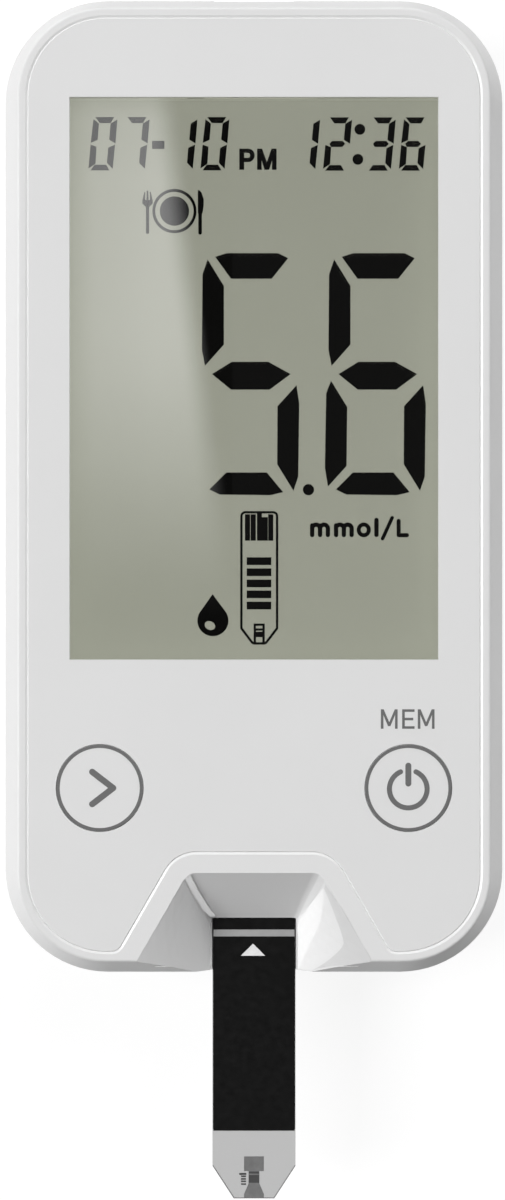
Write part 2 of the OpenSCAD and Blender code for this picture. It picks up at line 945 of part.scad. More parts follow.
module buzzer() {
    size = 9;
    height = 1.9;
    color("black")
        translate([12.5, window_y - 24, board_z - height])
            difference() {
                translate([-size / 2, -size / 2, 0])
                    cube([size, size, height]);
                translate([0, 0, -cut])
                    cylinder(r = 1.1, h = 0.5 + cut);
                for (turn = [0 : 90 : 270])
                    rotate(turn)
                        translate([size / 2, size / 2, height / 2])
                            rotate(45)
                                cube([1, 1, height + 1], center = true);
            }
}

// Chip resistor or capacitor, standing on the board
module chip_part(l, w, h) {
    cap = 0.22 * l;
    translate([-l / 2 + cap, -w / 2 + 0.03, 0.03])
        cube([l - 2 * cap, w - 0.06, h - 0.06]);
    for (side = [-1, 1])
        translate([side * (l - cap) / 2 - cap / 2, -w / 2, 0])
            cube([cap, w, h]);
}

module chip_parts() {
    color("tan") {
        for (i = [0 : 4])
            translate([-12 + i * 2.6, window_y + 9, board_top])
                rotate(90)
                    chip_part(1.6, 0.8, 0.55);
        for (i = [0 : 3])
            translate([2.6 + i * 2.4, button_line + 3, board_top])
                rotate(90)
                    chip_part(1.6, 0.8, 0.55);
        for (side = [-1, 1])
            translate([side * 8.5, window_y, board_top])
                rotate(90)
                    chip_part(2, 1.25, 0.9);
    }
}

module button_switches() {
    color("dimgray")
        at_buttons()
            translate([0, 0, board_top]) {
                difference() {
                    translate([-switch_w / 2, -switch_w / 2, 0])
                        cube([switch_w, switch_w, switch_h]);
                    translate([0, 0, switch_h - plunger_in - travel - 0.1])
                        cylinder(r = stem_r + 0.1, h = plunger_in + travel + 0.1 + cut);
                }
                for (turn = [0, 180])
                    for (y = [-1, 1])
                        rotate(turn)
                            translate([switch_w / 2 + 0.4, y * switch_w / 3, 0.1])
                                cube([0.8, 0.7, 0.2], center = true);
            }
}

module button_cap() {
    stem_low = switch_top + plunger_up;
    body_low = cap_flange_top - cap_flange_t - 0.05;
    rotate_extrude($fn = 128)
        polygon(concat(
            [
                [0, stem_low], [stem_r, stem_low], [stem_r, body_low],
                [cap_r - 0.5, body_low], [cap_r - 0.5, cap_flange_top - cap_flange_t],
                [cap_flange_r, cap_flange_top - cap_flange_t], [cap_flange_r, cap_flange_top],
                [cap_r, cap_flange_top]
            ],
            arc([cap_r - cap_top_r, body_t - cap_top_r], cap_top_r, 0, 90, 4),
            [[0, body_t]]
        ));
    // Lug that stops the cap from turning
    translate([-lug_w / 2, cap_flange_r - 0.3, cap_flange_top - cap_flange_t])
        cube([lug_w, lug_l + 0.3, cap_flange_t]);
}

module switch_plunger() {
    translate([0, 0, switch_top - plunger_in])
        cylinder(r = stem_r, h = plunger_in + plunger_up);
}

module next_button_cap() {
    color("gainsboro")
        translate([-button_x, button_line, 0])
            button_cap();
}

module next_switch_plunger() {
    color("black")
        translate([-button_x, button_line, 0])
            switch_plunger();
}

module power_button_cap() {
    color("gainsboro")
        translate([button_x, button_line, 0])
            button_cap();
}

module power_switch_plunger() {
    color("black")
        translate([button_x, button_line, 0])
            switch_plunger();
}

// ---------------------------------------------------------------- strip connector

module at_contacts() {
    for (i = [0 : contact_count - 1])
        translate([(i - (contact_count - 1) / 2) * contact_pitch, 0, 0])
            children();
}

module strip_connector_body() {
    half = slot_half + 1.6;
    color("black")
        difference() {
            translate([-half, connector_y, board_top])
                cube([2 * half, connector_l, connector_h]);
            translate([-slot_half, connector_y - cut, strip_z - strip_gap])
                cube([2 * slot_half, strip_top_y + 0.2 - connector_y + cut, strip_t + 2 * strip_gap]);
            at_contacts()
                translate([-contact_w / 2 - 0.1, connector_y + 0.6, strip_z + strip_t])
                    cube([contact_w + 0.2, connector_l, connector_h]);
            at_contacts()
                translate([-contact_w / 2 - 0.1, strip_top_y + 0.9, board_top - cut])
                    cube([contact_w + 0.2, connector_l, connector_h]);
        }
}

module strip_connector_contacts() {
    touch_z = strip_z + base_t + print_t + 0.03 + contact_t / 2;
    back_y = strip_top_y + 1.2;
    color("gold")
        at_contacts()
            bent_sheet_yz([
                [back_y + 1.6, board_top + contact_t / 2], [back_y + 0.2, board_top + contact_t / 2],
                [back_y, board_top + 2.3], [back_y - 0.7, board_top + 2.5],
                [strip_top_y - 1.6, touch_z], [strip_top_y - 2.1, touch_z], [strip_top_y - 2.8, touch_z + 0.6]
            ], contact_t, contact_w);
}

// ---------------------------------------------------------------- data socket

module socket_section(shrink) {
    w = socket_w - 2 * shrink;
    h = socket_h - 2 * shrink;
    bevel = 0.8;
    translate([0, shrink])
        polygon([
            [-w / 2 + bevel, 0], [w / 2 - bevel, 0], [w / 2, bevel],
            [w / 2, h], [-w / 2, h], [-w / 2, bevel]
        ]);
}

module data_socket_shell() {
    color("silver")
        translate([0, socket_y + socket_l, board_top])
            rotate([90, 0, 0])
                difference() {
                    linear_extrude(socket_l)
                        socket_section(0);
                    translate([0, 0, -cut])
                        linear_extrude(socket_l - 0.3 + cut)
                            socket_section(socket_wall);
                }
}

module data_socket_tongue() {
    back = socket_y + 0.3;
    color("black") {
        translate([-socket_w / 2 + 1.5, back, board_top + socket_wall])
            cube([socket_w - 3, 1, socket_h - 2 * socket_wall]);
        translate([-1.8, back, board_top + 1.5])
            cube([3.6, socket_l - 1.2, 0.6]);
    }
}

// ---------------------------------------------------------------- cells

module coin_cell() {
    can_h = cell_h - 0.3;
    rim = 0.5;
    translate([0, 0, cell_z])
        rotate_extrude($fn = 96)
            polygon([
                [0, 0], [cell_d / 2 - rim, 0], [cell_d / 2, rim], [cell_d / 2, can_h - 0.3],
                [cell_d / 2 - 0.3, can_h], [cell_d / 2 - 1.3, can_h], [cell_d / 2 - 1.5, can_h - 0.2],
                [cell_d / 2 - 1.9, can_h - 0.2], [cell_d / 2 - 2.2, cell_h], [0, cell_h]
            ]);
}

module left_coin_cell() {
    color("silver")
        translate([-cell_px, cell_py, 0])
            coin_cell();
}

module right_coin_cell() {
    color("silver")
        translate([cell_px, cell_py, 0])
            coin_cell();
}

module negative_contacts() {
    cell_top = cell_z + cell_h;
    foot_z = board_z - 0.1;
    color("gold")
        for (side = [-1, 1])
            translate([side * cell_px, 0, 0])
                bent_sheet_yz([
                    [cell_py - 8, foot_z], [cell_py - 5.5, foot_z],
                    [cell_py - 0.5, cell_top + 0.15], [cell_py + 0.5, cell_top + 0.15],
                    [cell_py + 1.5, cell_top + 0.45]
                ], 0.2, 3);
}

module positive_contacts() {
    edge = cell_px + cell_d / 2;
    foot_z = board_z - 0.1;
    color("gold")
        for (side = [0, 1])
            mirror([side, 0, 0])
                translate([0, cell_py, 0])
                    bent_sheet_xz([
                        [edge - 3, foot_z], [edge + 0.5, foot_z],
                        [edge + 0.55, cell_z + cell_h + 0.3], [edge + 0.16, cell_z + cell_h / 2],
                        [edge + 0.5, cell_z + 0.6]
                    ], 0.2, 3);
}

// ---------------------------------------------------------------- test strip

module strip_outline() {
    nick = 0.5;
    polygon([
        [-strip_w / 2 + nick, strip_top_y], [strip_w / 2 - nick, strip_top_y],
        [strip_w / 2, strip_top_y - nick], [strip_w / 2, strip_tip_y + tip_l],
        [tip_w / 2, strip_tip_y], [-tip_w / 2, strip_tip_y],
        [-strip_w / 2, strip_tip_y + tip_l], [-strip_w / 2, strip_top_y - nick]
    ]);
}

module strip_stretch(low, high) {
    intersection() {
        strip_outline();
        translate([-strip_w, low])
            square([2 * strip_w, high - low]);
    }
}

// Sample well: a square pad, a neck and a flared mouth at the tip
module sample_outline(grow) {
    pad = 1.0;
    neck = 0.55;
    y = strip_tip_y;
    offset(delta = grow)
        polygon([
            [pad, y + 0.06], [pad, y + 0.45], [neck, y + 1.5], [neck, y + 2.75], [pad, y + 2.75],
            [pad, y + 4.25], [-pad, y + 4.25], [-pad, y + 2.75], [-neck, y + 2.75],
            [-neck, y + 1.5], [-pad, y + 0.45], [-pad, y + 0.06]
        ]);
}

module strip_base() {
    color("gainsboro")
        translate([0, 0, strip_z])
            linear_extrude(base_t)
                strip_outline();
}

module strip_electrodes() {
    color("dimgray")
        at_contacts()
            translate([-0.5, strip_top_y - bare_l + 0.3, strip_z + base_t])
                cube([1, bare_l - 0.6, print_t]);
}

module strip_cover() {
    low = strip_tip_y + sample_l;
    color("black")
        translate([cover_in - strip_w / 2, low, strip_z + base_t])
            cube([strip_w - 2 * cover_in, strip_top_y - bare_l - low, cover_t]);
}

module strip_tip_film() {
    color("silver")
        translate([0, 0, strip_z + base_t])
            linear_extrude(cover_t)
                difference() {
                    strip_stretch(strip_tip_y, strip_tip_y + sample_l);
                    sample_outline(0);
                }
}

module sample_channel() {
    color("dimgray")
        translate([0, 0, strip_z + base_t])
            linear_extrude(cover_t - 0.02)
                sample_outline(-0.01);
}

front_shell();
faceplate();
rear_shell();
battery_door();
case_screws();
board_screws();
display_window();
display_gasket();
lcd_front_polariser();
lcd_front_glass();
lcd_rear_glass();
lcd_reflector();
lcd_holder();
lcd_connector();
main_board();
microcontroller();
analog_chip();
quartz_crystal();
buzzer();
chip_parts();
button_switches();
next_button_cap();
next_switch_plunger();
power_button_cap();
power_switch_plunger();
strip_connector_body();
strip_connector_contacts();
data_socket_shell();
data_socket_tongue();
left_coin_cell();
right_coin_cell();
negative_contacts();
positive_contacts();
strip_base();
strip_electrodes();
strip_cover();
strip_tip_film();
sample_channel();
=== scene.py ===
"""Visual model of a pocket blood glucose meter with its test strip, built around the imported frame."""

import logging
import math
from collections.abc import Iterable, Mapping, Sequence
from dataclasses import dataclass, field
from enum import Enum

import bmesh
import bpy
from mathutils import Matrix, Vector
from mathutils.bvhtree import BVHTree


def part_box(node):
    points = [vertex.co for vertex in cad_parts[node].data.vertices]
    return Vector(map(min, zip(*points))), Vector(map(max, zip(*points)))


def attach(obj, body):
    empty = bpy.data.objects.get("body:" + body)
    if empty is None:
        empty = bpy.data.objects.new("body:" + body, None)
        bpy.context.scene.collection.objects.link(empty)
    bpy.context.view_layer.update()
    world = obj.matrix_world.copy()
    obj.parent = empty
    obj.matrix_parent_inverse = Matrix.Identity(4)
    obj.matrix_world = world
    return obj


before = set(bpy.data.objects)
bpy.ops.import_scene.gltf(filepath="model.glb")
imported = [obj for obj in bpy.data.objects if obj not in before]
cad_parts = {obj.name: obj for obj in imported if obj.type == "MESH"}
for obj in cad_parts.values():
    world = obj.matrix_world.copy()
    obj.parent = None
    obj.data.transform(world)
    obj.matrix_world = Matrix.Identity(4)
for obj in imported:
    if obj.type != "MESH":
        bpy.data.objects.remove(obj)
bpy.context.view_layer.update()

LOG = logging.getLogger("meter")
MM = 0.001
NOISE_RANGE = (0.3, 0.7)  # what a noise's value mostly keeps to
RAY_START = 0.02  # a height over every node, in metres
WELD = 0.0005  # corners of a drawn mark that are nearer than this are one, in millimetres
SAME_SPOT, SAME_LEVEL = 1e-7, 1e-6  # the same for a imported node, in metres

Rgb = tuple[float, float, float]
Point = tuple[float, float]
Outline = list[Point]
Socket = bpy.types.NodeSocket
Outputs = bpy.types.NodeOutputs

PURE_WHITE: Rgb = (1.0, 1.0, 1.0)


def shade(*levels: float) -> Rgb:
    """Turns a display colour into the linear colour that a shader takes.

    Args:
        levels: red, green and blue from 0 to 255, or one level for a grey.

    Returns:
        The linear colour.
    """
    parts = [level / 255 for level in (levels if len(levels) == 3 else levels * 3)]
    red, green, blue = (p / 12.92 if p <= 0.04045 else ((p + 0.055) / 1.055) ** 2.4 for p in parts)
    return red, green, blue


def rgba(colour: Rgb, factor: float = 1.0) -> tuple[float, float, float, float]:
    """Gives a colour the fourth number that a socket needs, after scaling it."""
    return colour[0] * factor, colour[1] * factor, colour[2] * factor, 1.0


# ---------------------------------------------------------------- node helpers


class Board:
    """Places nodes in one shader tree and joins their sockets."""

    def __init__(self, tree: bpy.types.NodeTree) -> None:
        """Takes the node tree to fill."""
        self.tree = tree

    @classmethod
    def on(cls, owner: bpy.types.Material | bpy.types.World) -> "Board":
        """Empties the tree of a material or a world.

        Args:
            owner: the material or world.

        Returns:
            A board for its tree.
        """
        owner.use_nodes = True
        owner.node_tree.nodes.clear()
        return cls(owner.node_tree)

    def node(self, kind: str, **settings: object) -> bpy.types.Node:
        """Adds a node.

        Args:
            kind: the node's Blender type.
            settings: its properties.

        Returns:
            The new node.
        """
        made = self.tree.nodes.new(kind)
        for name, value in settings.items():
            setattr(made, name, value)
        return made

    def feed(self, target: Socket, source: object) -> None:
        """Sets a socket, or links another one to it.

        Args:
            target: the input socket.
            source: a number, colour or vector, or the socket to link.
        """
        if isinstance(source, Socket):
            self.tree.links.new(source, target)
        else:
            target.default_value = source

    def fill(self, node: bpy.types.Node, feeds: Mapping[str | int, object]) -> None:
        """Feeds several inputs of a node, each by its name or number."""
        for key, source in feeds.items():
            self.feed(node.inputs[key], source)

    def put(self, kind: str, feeds: Mapping[str | int, object], **settings: object) -> Outputs:
        """Adds a node with its inputs fed.

        Args:
            kind: the node's Blender type.
            feeds: what feeds each input, by name or number.
            settings: its properties.

        Returns:
            Its outputs.
        """
        made = self.node(kind, **settings)
        self.fill(made, feeds)
        return made.outputs

    def maths(self, operation: str, *values: object) -> Socket:
        """The output of a Math node fed by up to three values."""
        return self.put("ShaderNodeMath", dict(enumerate(values)), operation=operation)[0]

    def vector(self, operation: str, *values: object) -> Socket:
        """The output of a Vector Math node fed by up to three values."""
        outputs = self.put("ShaderNodeVectorMath", dict(enumerate(values)), operation=operation)
        return outputs[1 if operation in ("LENGTH", "DOT_PRODUCT") else 0]

    def spread(self, value: object, low: float, high: float, start: float = 0.0, end: float = 1.0) -> Socket:
        """Maps a value from low..high onto start..end, kept within them."""
        ends = {"Value": value, "From Min": low, "From Max": high, "To Min": start, "To Max": end}
        return self.put("ShaderNodeMapRange", ends)["Result"]

    def smooth(self, value: object, low: float, high: float) -> Socket:
        """Maps a value from low..high onto 0..1 along a soft S curve."""
        ends = {"Value": value, "From Min": low, "From Max": high}
        return self.put("ShaderNodeMapRange", ends, interpolation_type="SMOOTHSTEP")["Result"]

    def blend(self, factor: object, first: object, second: object) -> Socket:
        """Mixes two colours by a factor."""
        return self.put("ShaderNodeMix", {"Factor": factor, 6: first, 7: second}, data_type="RGBA")[2]

    def noise(self, place: object, scale: object, detail: float = 2.0, rough: float = 0.5) -> Socket:
        """The value of a Noise texture."""
        feeds = {"Vector": place, "Scale": scale, "Detail": detail, "Roughness": rough}
        return self.put("ShaderNodeTexNoise", feeds)["Fac"]

    def cells(self, scale: object, randomness: float = 1.0, **settings: str) -> Socket:
        """The distance that a Voronoi texture gives."""
        feeds = {"Vector": self.place(), "Scale": scale, "Randomness": randomness}
        return self.put("ShaderNodeTexVoronoi", feeds, **settings)["Distance"]

    def axes(self, vector: Socket) -> tuple[Socket, ...]:
        """Splits a vector into X, Y and Z."""
        return tuple(self.put("ShaderNodeSeparateXYZ", {0: vector}))

    def joined(self, *parts: object) -> Socket:
        """Makes a vector of X, Y and Z; a part that isn't given is 0."""
        return self.put("ShaderNodeCombineXYZ", dict(enumerate(parts)))[0]

    def place(self) -> Socket:
        """The position on the object, in metres."""
        return self.node("ShaderNodeTexCoord").outputs["Object"]

    def show(self, surface: Socket, kind: str = "ShaderNodeOutputMaterial") -> None:
        """Ends the tree in a surface."""
        self.put(kind, {"Surface": surface})


class Effect:
    """A shader node group that several finishes share, built once."""

    title: str = ""
    takes: dict[str, float] = {}
    gives: tuple[str, ...] = ()

    @classmethod
    def tree(cls) -> bpy.types.NodeTree:
        """Builds the group's node tree the first time.

        Returns:
            The tree.
        """
        found = bpy.data.node_groups.get(cls.title)
        if found is not None:
            return found
        made = bpy.data.node_groups.new(cls.title, "ShaderNodeTree")
        for name, value in cls.takes.items():
            socket = made.interface.new_socket(name, in_out="INPUT", socket_type="NodeSocketFloat")
            socket.default_value = value
        for name in cls.gives:
            made.interface.new_socket(name, in_out="OUTPUT", socket_type="NodeSocketFloat")
        board = Board(made)
        source = board.node("NodeGroupInput")
        board.fill(board.node("NodeGroupOutput"), cls.lay_out(board, source.outputs))
        return made

    @classmethod
    def lay_out(cls, board: Board, given: Outputs) -> dict[str, Socket]:
        """Builds the group's inside.

        Args:
            board: the group's own tree.
            given: the group's inputs.

        Returns:
            The socket that feeds each output.
        """
        raise NotImplementedError

    @classmethod
    def place_in(cls, board: Board, **values: float) -> Outputs:
        """Places the group in a material with its own values and returns its outputs."""
        feeds = {name.replace("_", " ").title(): value for name, value in values.items()}
        return board.put("ShaderNodeGroup", feeds, node_tree=cls.tree())


class MouldGrain(Effect):
    """Spark-eroded mould texture: fine pits, with slow changes in tone and gloss."""

    title = "mould_grain"
    takes = {"Grain Size": 0.0003, "Patch Size": 0.02}
    gives = ("Height", "Tone", "Gloss")

    @classmethod
    def lay_out(cls, board: Board, given: Outputs) -> dict[str, Socket]:
        """Pits come from noise over cells, and the slow changes from two wide noises.

        Args:
            board: the group's own tree.
            given: the group's inputs.

        Returns:
            The socket that feeds each output.
        """
        place = board.place()
        fine = board.maths("DIVIDE", 1.0, given["Grain Size"])
        wide = board.maths("DIVIDE", 1.0, given["Patch Size"])
        cells = board.cells(fine, feature="SMOOTH_F1")
        pits = board.noise(place, board.maths("MULTIPLY", fine, 0.7), 3.0, 0.65)
        shifted = board.vector("ADD", place, (0.31, 0.17, 0.05))
        return {
            "Height": board.maths("MULTIPLY", pits, board.spread(cells, 0, 0.8, 0.6, 1)),
            "Tone": board.noise(place, wide, 3.0, 0.6),
            "Gloss": board.noise(shifted, board.maths("MULTIPLY", wide, 1.7), 4.0, 0.6),
        }


class EdgePolish(Effect):
    """Finds the edges that handling rubs smooth."""

    title = "edge_polish"
    takes = {"Width": 0.0004}
    gives = ("Edge",)

    @classmethod
    def lay_out(cls, board: Board, given: Outputs) -> dict[str, Socket]:
        """An edge is where a rounded normal leaves the true one, broken up by noise.

        Args:
            board: the group's own tree.
            given: the group's inputs.

        Returns:
            The socket that feeds each output.
        """
        rounded = board.put("ShaderNodeBevel", {"Radius": given["Width"]}, samples=4)[0]
        true = board.node("ShaderNodeNewGeometry").outputs["Normal"]
        bend = board.maths("SUBTRACT", 1.0, board.vector("DOT_PRODUCT", rounded, true))
        worn = board.spread(board.noise(board.place(), 900.0, 4.0, 0.6), 0.35, 0.65, 0.35, 1.0)
        return {"Edge": board.maths("MULTIPLY", board.spread(bend, 0.01, 0.25), worn)}


class BrushLines(Effect):
    """Fine parallel lines that rolling or brushing leaves on metal."""

    title = "brush_lines"
    takes = {"Line Size": 0.00008, "Stretch": 30.0}
    gives = ("Height", "Tone")

    @classmethod
    def lay_out(cls, board: Board, given: Outputs) -> dict[str, Socket]:
        """Noise that is squeezed across the lines and drawn out along them.

        Args:
            board: the group's own tree.
            given: the group's inputs.

        Returns:
            The socket that feeds each output.
        """
        x, y, z = board.axes(board.place())
        drawn = board.joined(x, board.maths("DIVIDE", y, given["Stretch"]), z)
        lines = board.noise(drawn, board.maths("DIVIDE", 1.0, given["Line Size"]), 3.0, 0.6)
        return {"Height": lines, "Tone": board.noise(board.place(), 220.0, 3.0, 0.6)}


class TurnLines(Effect):
    """Rings about one axis, as turning or stamping leaves on a round face."""

    title = "turn_lines"
    takes = {"Centre X": 0.0, "Centre Y": 0.0, "Pitch": 0.0001}
    gives = ("Height", "Tone")

    @classmethod
    def lay_out(cls, board: Board, given: Outputs) -> dict[str, Socket]:
        """Noise read along the distance from the axis.

        Args:
            board: the group's own tree.
            given: the group's inputs.

        Returns:
            The socket that feeds each output.
        """
        middle = board.joined(given["Centre X"], given["Centre Y"])
        flat = board.vector("MULTIPLY", board.vector("SUBTRACT", board.place(), middle), (1, 1, 0))
        along = board.joined(board.maths("DIVIDE", board.vector("LENGTH", flat), given["Pitch"]))
        stains = board.noise(board.place(), 300.0, 3.0, 0.6)
        return {"Height": board.noise(along, 1.0, 2.0, 0.6), "Tone": stains}


class BoardTracks(Effect):
    """Copper tracks and filled areas under the solder mask of a circuit board."""

    title = "board_tracks"
    takes = {"Pitch": 0.0012}
    gives = ("Copper",)

    @classmethod
    def lay_out(cls, board: Board, given: Outputs) -> dict[str, Socket]:
        """Tracks follow the borders of square cells, and areas fill some of them.

        Args:
            board: the group's own tree.
            given: the group's inputs.

        Returns:
            The socket that feeds each output.
        """
        size = board.maths("DIVIDE", 1.0, given["Pitch"])
        cells = board.cells(size, 0.55, distance="CHEBYCHEV")
        step = board.maths("FRACT", board.maths("MULTIPLY", cells, 5.0))
        track = board.smooth(board.maths("ABSOLUTE", board.maths("SUBTRACT", step, 0.5)), 0.22, 0.18)
        areas = board.smooth(board.noise(board.place(), 130.0, 1.0), 0.56, 0.57)
        return {"Copper": board.maths("MAXIMUM", track, areas)}


class InkFilm(Effect):
    """The slightly uneven coat that screen printing leaves."""

    title = "ink_film"
    takes = {"Mesh Size": 0.00012}
    gives = ("Height", "Tone")

    @classmethod
    def lay_out(cls, board: Board, given: Outputs) -> dict[str, Socket]:
        """The screen's mesh shows in the height, and the ink's thickness in the tone.

        Args:
            board: the group's own tree.
            given: the group's inputs.

        Returns:
            The socket that feeds each output.
        """
        size = board.maths("DIVIDE", 1.0, given["Mesh Size"])
        patches = board.noise(board.place(), board.maths("MULTIPLY", size, 0.15), 3.0, 0.6)
        return {"Height": board.cells(size), "Tone": patches}


# -------------------------------------------------------------------- finishes


@dataclass(frozen=True)
class Finish:
    """A surface as its maker would order it.

    Attributes:
        title: the material's name.
        colour: its colour, linear.
        roughness: how matt it is, from 0 to 1.
    """

    title: str
    colour: Rgb
    roughness: float

    def material(self) -> bpy.types.Material:
        """Builds the material the first time.

        Returns:
            The material.
        """
        found = bpy.data.materials.get(self.title)
        if found is not None:
            return found
        made = bpy.data.materials.new(self.title)
        board = Board.on(made)
        shader = board.node("ShaderNodeBsdfPrincipled")
        board.fill(shader, {"Roughness": self.roughness, "Base Color": rgba(self.colour)})
        board.show(self.surface(board, shader))
        return made

    def surface(self, board: Board, shader: bpy.types.Node) -> Socket:
        """Adds the finish's own nodes.

        Args:
            board: the material's tree.
            shader: its Principled node.

        Returns:
            The socket that the surface shows.
        """
        raise NotImplementedError

    def sheen(self, board: Board, shader: bpy.types.Node, value: Socket, drift: float) -> None:
        """Lets the roughness drift as a value goes from 0 to 1."""
        span = self.roughness - drift, self.roughness + drift
        board.feed(shader.inputs["Roughness"], board.spread(value, *NOISE_RANGE, *span))

    @staticmethod
    def emboss(board: Board, shader: bpy.types.Node, height: Socket, depth: float) -> None:
        """Raises the surface by depth metres where height goes from 0 to 1."""
        bump = board.put("ShaderNodeBump", {"Distance": depth, "Height": height})
        board.feed(shader.inputs["Normal"], bump["Normal"])

    def textured(
        self,
        board: Board,
        shader: bpy.types.Node,
        effect: Outputs,
        drifts: Point,
        depth: float,
        tone: str = "Tone",
    ) -> Socket:
        """Lets an effect lead the colour, the roughness and the height.

        Args:
            board: the material's tree.
            shader: its Principled node.
            effect: the effect's outputs.
            drifts: how far the colour drifts, as a share of itself, and how far the roughness does.
            depth: how high the effect stands, in metres.
            tone: the output that leads the colour.

        Returns:
            The socket that the surface shows.
        """
        low, high = rgba(self.colour, 1 - drifts[0]), rgba(self.colour, 1 + drifts[0])
        place = board.spread(effect[tone], *NOISE_RANGE)
        board.feed(shader.inputs["Base Color"], board.blend(place, low, high))
        self.sheen(board, shader, effect["Gloss" if "Gloss" in effect else "Tone"], drifts[1])
        self.emboss(board, shader, effect["Height"], depth)
        return shader.outputs[0]

    def dress(self, *pieces: bpy.types.Object) -> None:
        """Puts the material on every slot of some pieces.

        Args:
            pieces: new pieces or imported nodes.
        """
        for piece in pieces:
            if not piece.material_slots:
                piece.data.materials.append(self.material())
            for slot in piece.material_slots:
                slot.material = self.material()


@dataclass(frozen=True)
class MouldedPlastic(Finish):
    """Injection-moulded plastic.

    Attributes:
        grain_size: the width of a pit in the mould's texture, in metres.
        grain_depth: how deep the pits are, in metres.
        tone_spread: how far the colour drifts.
        gloss_spread: how far the roughness drifts.
        edge_width: how wide the rubbed edges are, in metres; 0 leaves them out.
        edge_rough: how matt a rubbed edge is, as a share of the rest.
        gloss: how strongly its grained surface mirrors; 0.5 is plain plastic.
        polish: the weight of the smooth skin that a polished mould gives.
        polish_rough: how matt that skin is.
    """

    grain_size: float = 0.00025
    grain_depth: float = 0.000004
    tone_spread: float = 0.008
    gloss_spread: float = 0.05
    edge_width: float = 0.0
    edge_rough: float = 0.72
    gloss: float = 0.5
    polish: float = 0.0
    polish_rough: float = 0.14

    def surface(self, board: Board, shader: bpy.types.Node) -> Socket:
        """Grain in the normal, slow drift in colour and gloss, smoother edges and a polished skin.

        Args:
            board: the material's tree.
            shader: its Principled node.

        Returns:
            The socket that the surface shows.
        """
        coat = {"Coat Weight": self.polish, "Coat Roughness": self.polish_rough}
        board.fill(shader, {"Specular IOR Level": self.gloss, **coat})
        grain = MouldGrain.place_in(board, grain_size=self.grain_size)
        shown = self.textured(board, shader, grain, (self.tone_spread, self.gloss_spread), self.grain_depth)
        if self.edge_width > 0:
            edge = EdgePolish.place_in(board, width=self.edge_width)["Edge"]
            rough = shader.inputs["Roughness"].links[0].from_socket
            eased_edge = board.maths("MULTIPLY", rough, board.spread(edge, 0, 1, 1, self.edge_rough))
            board.feed(shader.inputs["Roughness"], eased_edge)
        return shown


@dataclass(frozen=True)
class ClearSheet(Finish):
    """Flat clear plastic or glass that lamps shine through.

    Attributes:
        bend: its index of refraction.
        hard_coat: the weight of a hard clear coat on it.
        coat_bend: that coat's index of refraction.
    """

    bend: float = 1.49
    hard_coat: float = 0.0
    coat_bend: float = 1.7

    def surface(self, board: Board, shader: bpy.types.Node) -> Socket:
        """Glass for what is seen, and a clear stand-in for light on its way in.

        Args:
            board: the material's tree.
            shader: its Principled node.

        Returns:
            The socket that the surface shows.
        """
        board.fill(shader, {"Transmission Weight": 1.0, "IOR": self.bend, "Coat Weight": self.hard_coat})
        board.fill(shader, {"Coat Roughness": self.roughness, "Coat IOR": self.coat_bend})
        waves = MouldGrain.place_in(board, grain_size=0.004, patch_size=0.03)
        self.sheen(board, shader, waves["Gloss"], self.roughness * 0.5)
        clear = board.put("ShaderNodeBsdfTransparent", {"Color": rgba(self.colour)})[0]
        path = board.node("ShaderNodeLightPath").outputs
        passing = board.maths("MAXIMUM", path["Is Shadow Ray"], path["Is Diffuse Ray"])
        return board.put("ShaderNodeMixShader", {0: passing, 1: shader.outputs[0], 2: clear})[0]


@dataclass(frozen=True)
class OpticalFilm(Finish):
    """Matt optical film, with the faint sparkle of its scattering layer.

    Attributes:
        sparkle: how far the colour changes from grain to grain.
        gloss: how strongly its own surface mirrors; 0.5 is plain plastic.
    """

    sparkle: float = 0.012
    gloss: float = 0.5

    def surface(self, board: Board, shader: bpy.types.Node) -> Socket:
        """A very fine grain in colour and height.

        Args:
            board: the material's tree.
            shader: its Principled node.

        Returns:
            The socket that the surface shows.
        """
        board.fill(shader, {"Specular IOR Level": self.gloss})
        grain = MouldGrain.place_in(board, grain_size=0.00012, patch_size=0.012)
        return self.textured(board, shader, grain, (self.sparkle, 0.04), 0.000001, "Height")


@dataclass(frozen=True)
class PrintedInk(Finish):
    """Screen-printed ink.

    Attributes:
        drift: how far the ink's tone changes.
        gloss: how strongly it mirrors; 0.5 is plain plastic.
    """

    drift: float = 0.04
    gloss: float = 0.5

    def surface(self, board: Board, shader: bpy.types.Node) -> Socket:
        """The coat's unevenness in colour, gloss and height."""
        board.fill(shader, {"Specular IOR Level": self.gloss})
        return self.textured(board, shader, InkFilm.place_in(board), (self.drift, 0.05), 0.0000015)


@dataclass(frozen=True)
class RolledMetal(Finish):
    """Sheet metal with the lines of rolling on it.

    Attributes:
        drift: how far the metal's tone changes.
        line_size: the width of a line, in metres.
    """

    drift: float = 0.06
    line_size: float = 0.00008

    def surface(self, board: Board, shader: bpy.types.Node) -> Socket:
        """Lines in the height, and stains in tone and gloss.

        Args:
            board: the material's tree.
            shader: its Principled node.

        Returns:
            The socket that the surface shows.
        """
        board.fill(shader, {"Metallic": 1.0})
        lines = BrushLines.place_in(board, line_size=self.line_size)
        return self.textured(board, shader, lines, (self.drift, 0.08), 0.000002)


@dataclass(frozen=True)
class TurnedMetal(Finish):
    """Round metal with rings about its axis.

    Attributes:
        axis: where the axis stands, in metres.
        pitch: the width of a ring, in metres.
    """

    axis: Point = (0.0, 0.0)
    pitch: float = 0.00012

    def surface(self, board: Board, shader: bpy.types.Node) -> Socket:
        """Rings in the height, and stains in tone and gloss.

        Args:
            board: the material's tree.
            shader: its Principled node.

        Returns:
            The socket that the surface shows.
        """
        board.fill(shader, {"Metallic": 1.0})
        rings = TurnLines.place_in(board, centre_x=self.axis[0], centre_y=self.axis[1], pitch=self.pitch)
        return self.textured(board, shader, rings, (0.05, 0.07), 0.000003)


